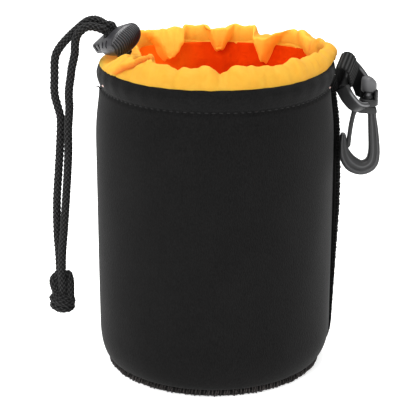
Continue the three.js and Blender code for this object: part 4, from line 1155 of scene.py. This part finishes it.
# Webbing loop: a black cross-ribbed nylon tape folded round the snap's crossbar, both ends sewn
# into the top of the side seam, so it stands up as a small dome beside the rim.
bar_centre = np.array([49.3, -4.0, 113.6])
bar_along = unit(np.array([0.33, 0.79, 0.52]))
tape_up = unit(np.array([0, 0, 1.0]) - bar_along * bar_along[2])
tape_in = np.cross(tape_up, bar_along)
tape_half, tape_inner, tape_outer = 4.5, 0.85, 0.575
tape_step, rib_spacing, rib_proud = 0.13, 1.3, 0.28
tape_route = smooth_path([
    (8.6, -5.0), (5.4, -3.9), (3.2, -2.5), (2.55, -0.4), (2.6, 2.2), (2.55, 4.8), (1.9, 6.9),
    (0.2, 7.9), (-1.6, 7.1), (-2.5, 5.0), (-2.6, 2.2), (-2.55, -0.2), (-1.7, -1.9), (0.2, -2.6),
    (3.2, -3.9), (5.6, -5.1), (8.6, -6.3)], tape_step)
tape_ahead = unit(np.gradient(tape_route, axis=0))
tape_side = np.stack([-tape_ahead[:, 1], tape_ahead[:, 0]], -1)
tape_across = np.linspace(-1, 1, 24)
tape_edge = np.sqrt(np.clip((1 - tape_across ** 8) * 1.6, 0.03, 1))
tape_rib = 0.5 + 0.5 * np.cos(np.arange(len(tape_route)) * tape_step * 2 * math.pi / rib_spacing)
tape_width = np.concatenate([tape_across, tape_across[::-1]]) * tape_half
tape_rows = []
for (inward, up), (side_in, side_up), rib in zip(tape_route, tape_side, tape_rib):
    outer = (tape_outer - rib_proud + rib_proud * rib ** 0.7) * tape_edge
    depth = np.concatenate([tape_inner * tape_edge, -outer[::-1]])
    tape_rows.append(
        bar_centre + np.multiply.outer(inward + depth * side_in, tape_in)
        + np.multiply.outer(up + depth * side_up, tape_up) + np.multiply.outer(tape_width, bar_along))
tape_parts = finish("black tape", grey(0.006), 0.75, Specular_IOR_Level=0.1,
                    Sheen_Weight=0.03, Sheen_Roughness=0.4)
tape_cloth = textured(
    tape_parts, plain_weave, {"Threads per Metre": 2400, "Crinkle": 0.5}, (0.3, 0.7),
    (grey(0.0015), grey(0.004)), 0.0004)
# Painted highlight: the crests of the ribs on the tape's outer face are coloured lighter where they
# catch the light.
tinted(tape_parts, "rib", grey(0.033))
tape = ringed_piece("webbing_tape", tape_rows, tape_cloth)
# Marks the rib crests for the painted highlight.
mark(tape, "rib", np.outer(tape_rib ** 1.5, np.repeat([0, 1], len(tape_across))))
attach(tape, "pouch")
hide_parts("webbing_loop")

# Swivel eye: moulded in one, a crossbar in the webbing, two bowed flat arms and a hub with an
# upright bore for the hook's stem. Its long edges are painted pale, partly as rubbed wear and partly
# as painted highlight.
hub_top, hub_foot = 105.0, 102.4
swivel = np.array([57.5, -4.0])
bar_radius, bar_reach = 1.3, 6.6
arm_half, arm_narrowing = 3.0, 1.3
snap_parts = finish("snap plastic", grey(0.02), 0.48, Specular_IOR_Level=0.38)
snap_plastic = textured(
    snap_parts, moulded_skin, {"Grain per Metre": 3200, "Scuff": 0.6}, (0.32, 0.72),
    ((0.007, 0.007, 0.0073), (0.018, 0.018, 0.0185)), 0.00003)
# Painted pale where marked: rubbed wear on edges together with painted highlights and a painted glint.
tinted(snap_parts, "wear_and_highlight", (0.2, 0.2, 0.207))


def moulded(name, rings, wear_and_highlight=0.0, ends="capped"):
    """A smooth closed plastic shape over rings of points, with its rubbed places and painted
    highlights marked.
    """
    piece = ringed_piece(name, rings, snap_plastic, ends)
    mark(piece, "wear_and_highlight", np.broadcast_to(wear_and_highlight, (len(rings), len(rings[0]))))
    return piece


def turned(profile, angles):
    """Rings round the swivel's upright axis, from pairs of radius and height."""
    rings = np.stack([ring_points(angles, radius, height) for radius, height in profile])
    return rings + np.array([*swivel, 0])


hub_centre = np.array([*swivel, (hub_top + hub_foot) / 2])
arm_face = np.cross(unit(hub_centre - bar_centre), bar_along)
thick, wide = rounded_square(40, 0.45)
eye_parts = []
# Each arm: side, its bow at shares of the way to the hub, and how much broader it is midway.
for side, bows, paddle in ((-1, (6.6, 7.8, 7.3, 4.1, 1.1), 0), (1, (6.6, 6.9, 6.2, 3.8, 1.1), 1.4)):
    route = smooth_path([
        bar_centre + (hub_centre - bar_centre) * share + side * bow * bar_along
        for share, bow in zip((0, 0.3, 0.65, 0.9, 1), bows)], 0.25)
    outward = unit(np.cross(unit(np.gradient(route, axis=0)), arm_face))
    run = np.linspace(0, 1, len(route))[:, None, None]
    broad = arm_half - arm_narrowing * ease(run, 0.7, 1.0)
    broad = broad + paddle * band(run, (0.1, 0.35), (0.7, 1.0))
    spread = broad * wide[None, :, None] - (broad - 2.2) * (side > 0)
    rings = route[:, None, :] + thick[None, :, None] * outward[:, None, :] + spread * arm_face
    # Painted pale along the long edges, partly as rubbed wear and partly as painted highlight, fading
    # out near the crossbar.
    edge = ease(wide, 0.8, 0.98) * ease(np.abs(thick), 0.2, 0.75) * ease(run[:, :, 0], 0.12, 0.25)
    eye_parts.append(moulded("snap_swivel_eye", rings, edge))
bar_ring = bar_radius * (np.cos(spin)[:, None] * tape_in + np.sin(spin)[:, None] * tape_up)
eye_parts.append(moulded("snap_swivel_eye", [
    bar_centre + reach * bar_along + bar_ring for reach in np.linspace(-bar_reach, bar_reach, 12)]))
head_angles = all_round(48)
hub_half = [(2.3, 0.2), (2.5, 0), (3.3, 0), (3.55, 0.2), (3.6, 0.5)]
hub_profile = [(radius, hub_foot + inset) for radius, inset in hub_half]
hub_profile += [(radius, hub_top - inset) for radius, inset in hub_half[::-1]]
eye_parts.append(moulded("snap_swivel_eye", turned(hub_profile, head_angles), ends="joined"))
shield = [(3.05, -0.4), (3.55, -0.4), (3.5, 3.0), (3.4, 3.2), (3.2, 3.2), (3.05, 3.0)]
shield_rings = turned(
    [(radius, hub_top + level) for radius, level in shield], np.linspace(-50, 150, 30))
eye_parts.append(moulded("snap_swivel_eye", shield_rings.transpose(1, 0, 2)))
eye = crisp(joined(eye_parts), 50)
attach(eye, "swivel_eye")
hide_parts("snap_eye")

# Hook: moulded in one, a turned head and stem that spin in the eye, a shoulder and a bent bar with
# a groove moulded along its front and back.
hook_top, hook_foot, hook_half_depth = 102.1, 75.6, 2.1
groove_place = 0.12
# Stops of the bent bar: out from the stem, height and half width.
bar_stops = [
    (1.3, 26.0, 1.55), (1.5, 22.5, 1.6), (2.2, 16.4, 1.95), (2.7, 8.6, 2.25), (1.6, 4.3, 2.6),
    (-1.8, 2.6, 2.75), (-5.6, 4.1, 2.95), (-8.0, 7.4, 2.4), (-8.9, 11.2, 1.55), (-9.1, 15.0, 1.1),
    (-9.1, 15.8, 0.7)]
bar_route = smooth_path(bar_stops, 0.25)
wide, deep = rounded_square(72, 0.55)
front_and_back = np.abs(deep) > 0.6
groove = 0.6 * bell(wide, groove_place, 0.24) * front_and_back


def bent_bar(route, halves, depths, foot):
    """Rings of a flat bar in the swivel's plane, with a half width and a half depth at each."""
    rings = []
    for (out, height), (ahead_out, ahead_up), across, depth in zip(
            route, unit(np.gradient(route, axis=0)), halves, depths):
        rings.append(np.stack([
            swivel[0] + out - ahead_up * across, swivel[1] + depth,
            foot + height + ahead_out * across], -1))
    return rings


bar_halves = bar_route[:, 2:]
bar_depths = deep * (hook_half_depth - groove * np.minimum(bar_halves / 1.8, 1))
bar_rings = bent_bar(bar_route[:, :2], bar_halves * wide, bar_depths, hook_foot)
# The rims of the groove and the bar's corners are painted pale, partly as rubbed wear and partly as
# painted highlight.
groove_rims = bell(np.abs(wide - groove_place), 0.36, 0.1) * front_and_back
rim_wear_and_highlight = np.clip(groove_rims + np.abs(wide * deep) ** 4, 0, 1)
hook_parts = [moulded("snap_hook_body", bar_rings, 0.22 * rim_wear_and_highlight[None, :])]

# The head: radius, height over the hub, painted highlight all round, strongest on its upper part, and
# a painted glint on the side to the light.
head_stops = np.array([
    (0.05, 0.3, 0, 0), (1.6, 0.3, 0, 0.6), (1.6, 1.3, 0, 1), (1.6, 2.4, 0, 0.4), (2.5, 2.7, 0, 0),
    (2.8, 3.0, 0.05, 0), (2.9, 3.5, 0.2, 0), (2.9, 5.0, 0.35, 0), (2.9, 6.6, 0.45, 0),
    (2.85, 7.5, 0.45, 0), (2.6, 8.0, 0.35, 0), (2.0, 8.25, 0.25, 0), (1.0, 8.3, 0.2, 0),
    (0.05, 8.3, 0.15, 0)])
head_radius, head_height, head_highlight, head_glint = [column[:, None] for column in head_stops.T]
head_rings = turned(head_stops[:, :2] + np.array([0, hub_top]), head_angles)
toward_right = np.clip(head_radius * np.cos(np.radians(head_angles)) + 0.6, 0, None)
head_rings[..., 2] -= toward_right ** 1.8 * 0.2 * ease(head_height, 4, 8)
head_highlight = head_highlight + turn_bell(head_angles, -105, 24)[None, :] * head_glint
hook_parts.append(moulded("snap_hook_body", head_rings, head_highlight))

stem_radius, stem_foot, stem_top = 2.0, hook_top - 1.0, hub_top + 1.2
stem_profile = [(0.05, stem_foot), (stem_radius, stem_foot), (stem_radius, stem_top), (0.05, stem_top)]
hook_parts.append(moulded("snap_hook_body", turned(stem_profile, all_round(32))))
shoulder_outline = smooth_path([
    (-5.0, 0.0), (-2, 0.0), (1.6, 0.0), (2.6, -0.3), (3.0, -1.2), (3.0, -2.4), (1.6, -2.7),
    (-1, -2.5), (-3.6, -2.3), (-4.6, -1.4)], 0.3, closed=True)
shoulder_middle = np.array([-0.4, -1.2])
shoulder_rings = []
for depth, share in ((-2.1, 0.9), (-2.0, 0.96), (-1.8, 1), (1.8, 1), (2.0, 0.96), (2.1, 0.9)):
    flat = shoulder_middle + (shoulder_outline - shoulder_middle) * share
    shoulder_rings.append(np.stack([
        swivel[0] + flat[:, 0], np.full(len(flat), swivel[1] + depth), hook_top + flat[:, 1]], -1))
hook_parts.append(moulded("snap_hook_body", shoulder_rings))
hook = crisp(joined(hook_parts), 50)
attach(hook, "hook")
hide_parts("snap_hook")

# Gate: a thin springy tongue of the same plastic, rooted in the shoulder and closing on the inside
# of the hook's tip.
gate_half_depth, gate_half_width = 1.7, 0.8
gate_route = smooth_path([
    (-4.9, -0.75), (-5.1, -1.5), (-5.8, -4.4), (-6.4, -8.0), (-6.8, -11.6), (-7.05, -15.1),
    (-7.08, -15.7)], 0.25)
gate_share = np.linspace(0, 1, len(gate_route))
gate_ends = np.clip(np.minimum(gate_share, 1 - gate_share) * 22, 0.12, 1)
gate_half = gate_half_width * np.sqrt(gate_ends) + 0.25 * bell(gate_share, 0.05, 0.06)
wide, deep = rounded_square(28, 0.5)
gate_depths = np.tile(gate_half_depth * deep, (len(gate_route), 1))
gate_rings = bent_bar(gate_route, gate_half[:, None] * wide, gate_depths, hook_top)
# The gate's corners are painted pale, partly as rubbed wear and partly as painted highlight.
gate_wear_and_highlight = 0.25 * np.abs(wide * deep)[None, :] ** 3
gate = crisp(moulded("snap_gate_tongue", gate_rings, gate_wear_and_highlight), 60)
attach(gate, "gate")
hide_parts("snap_gate")
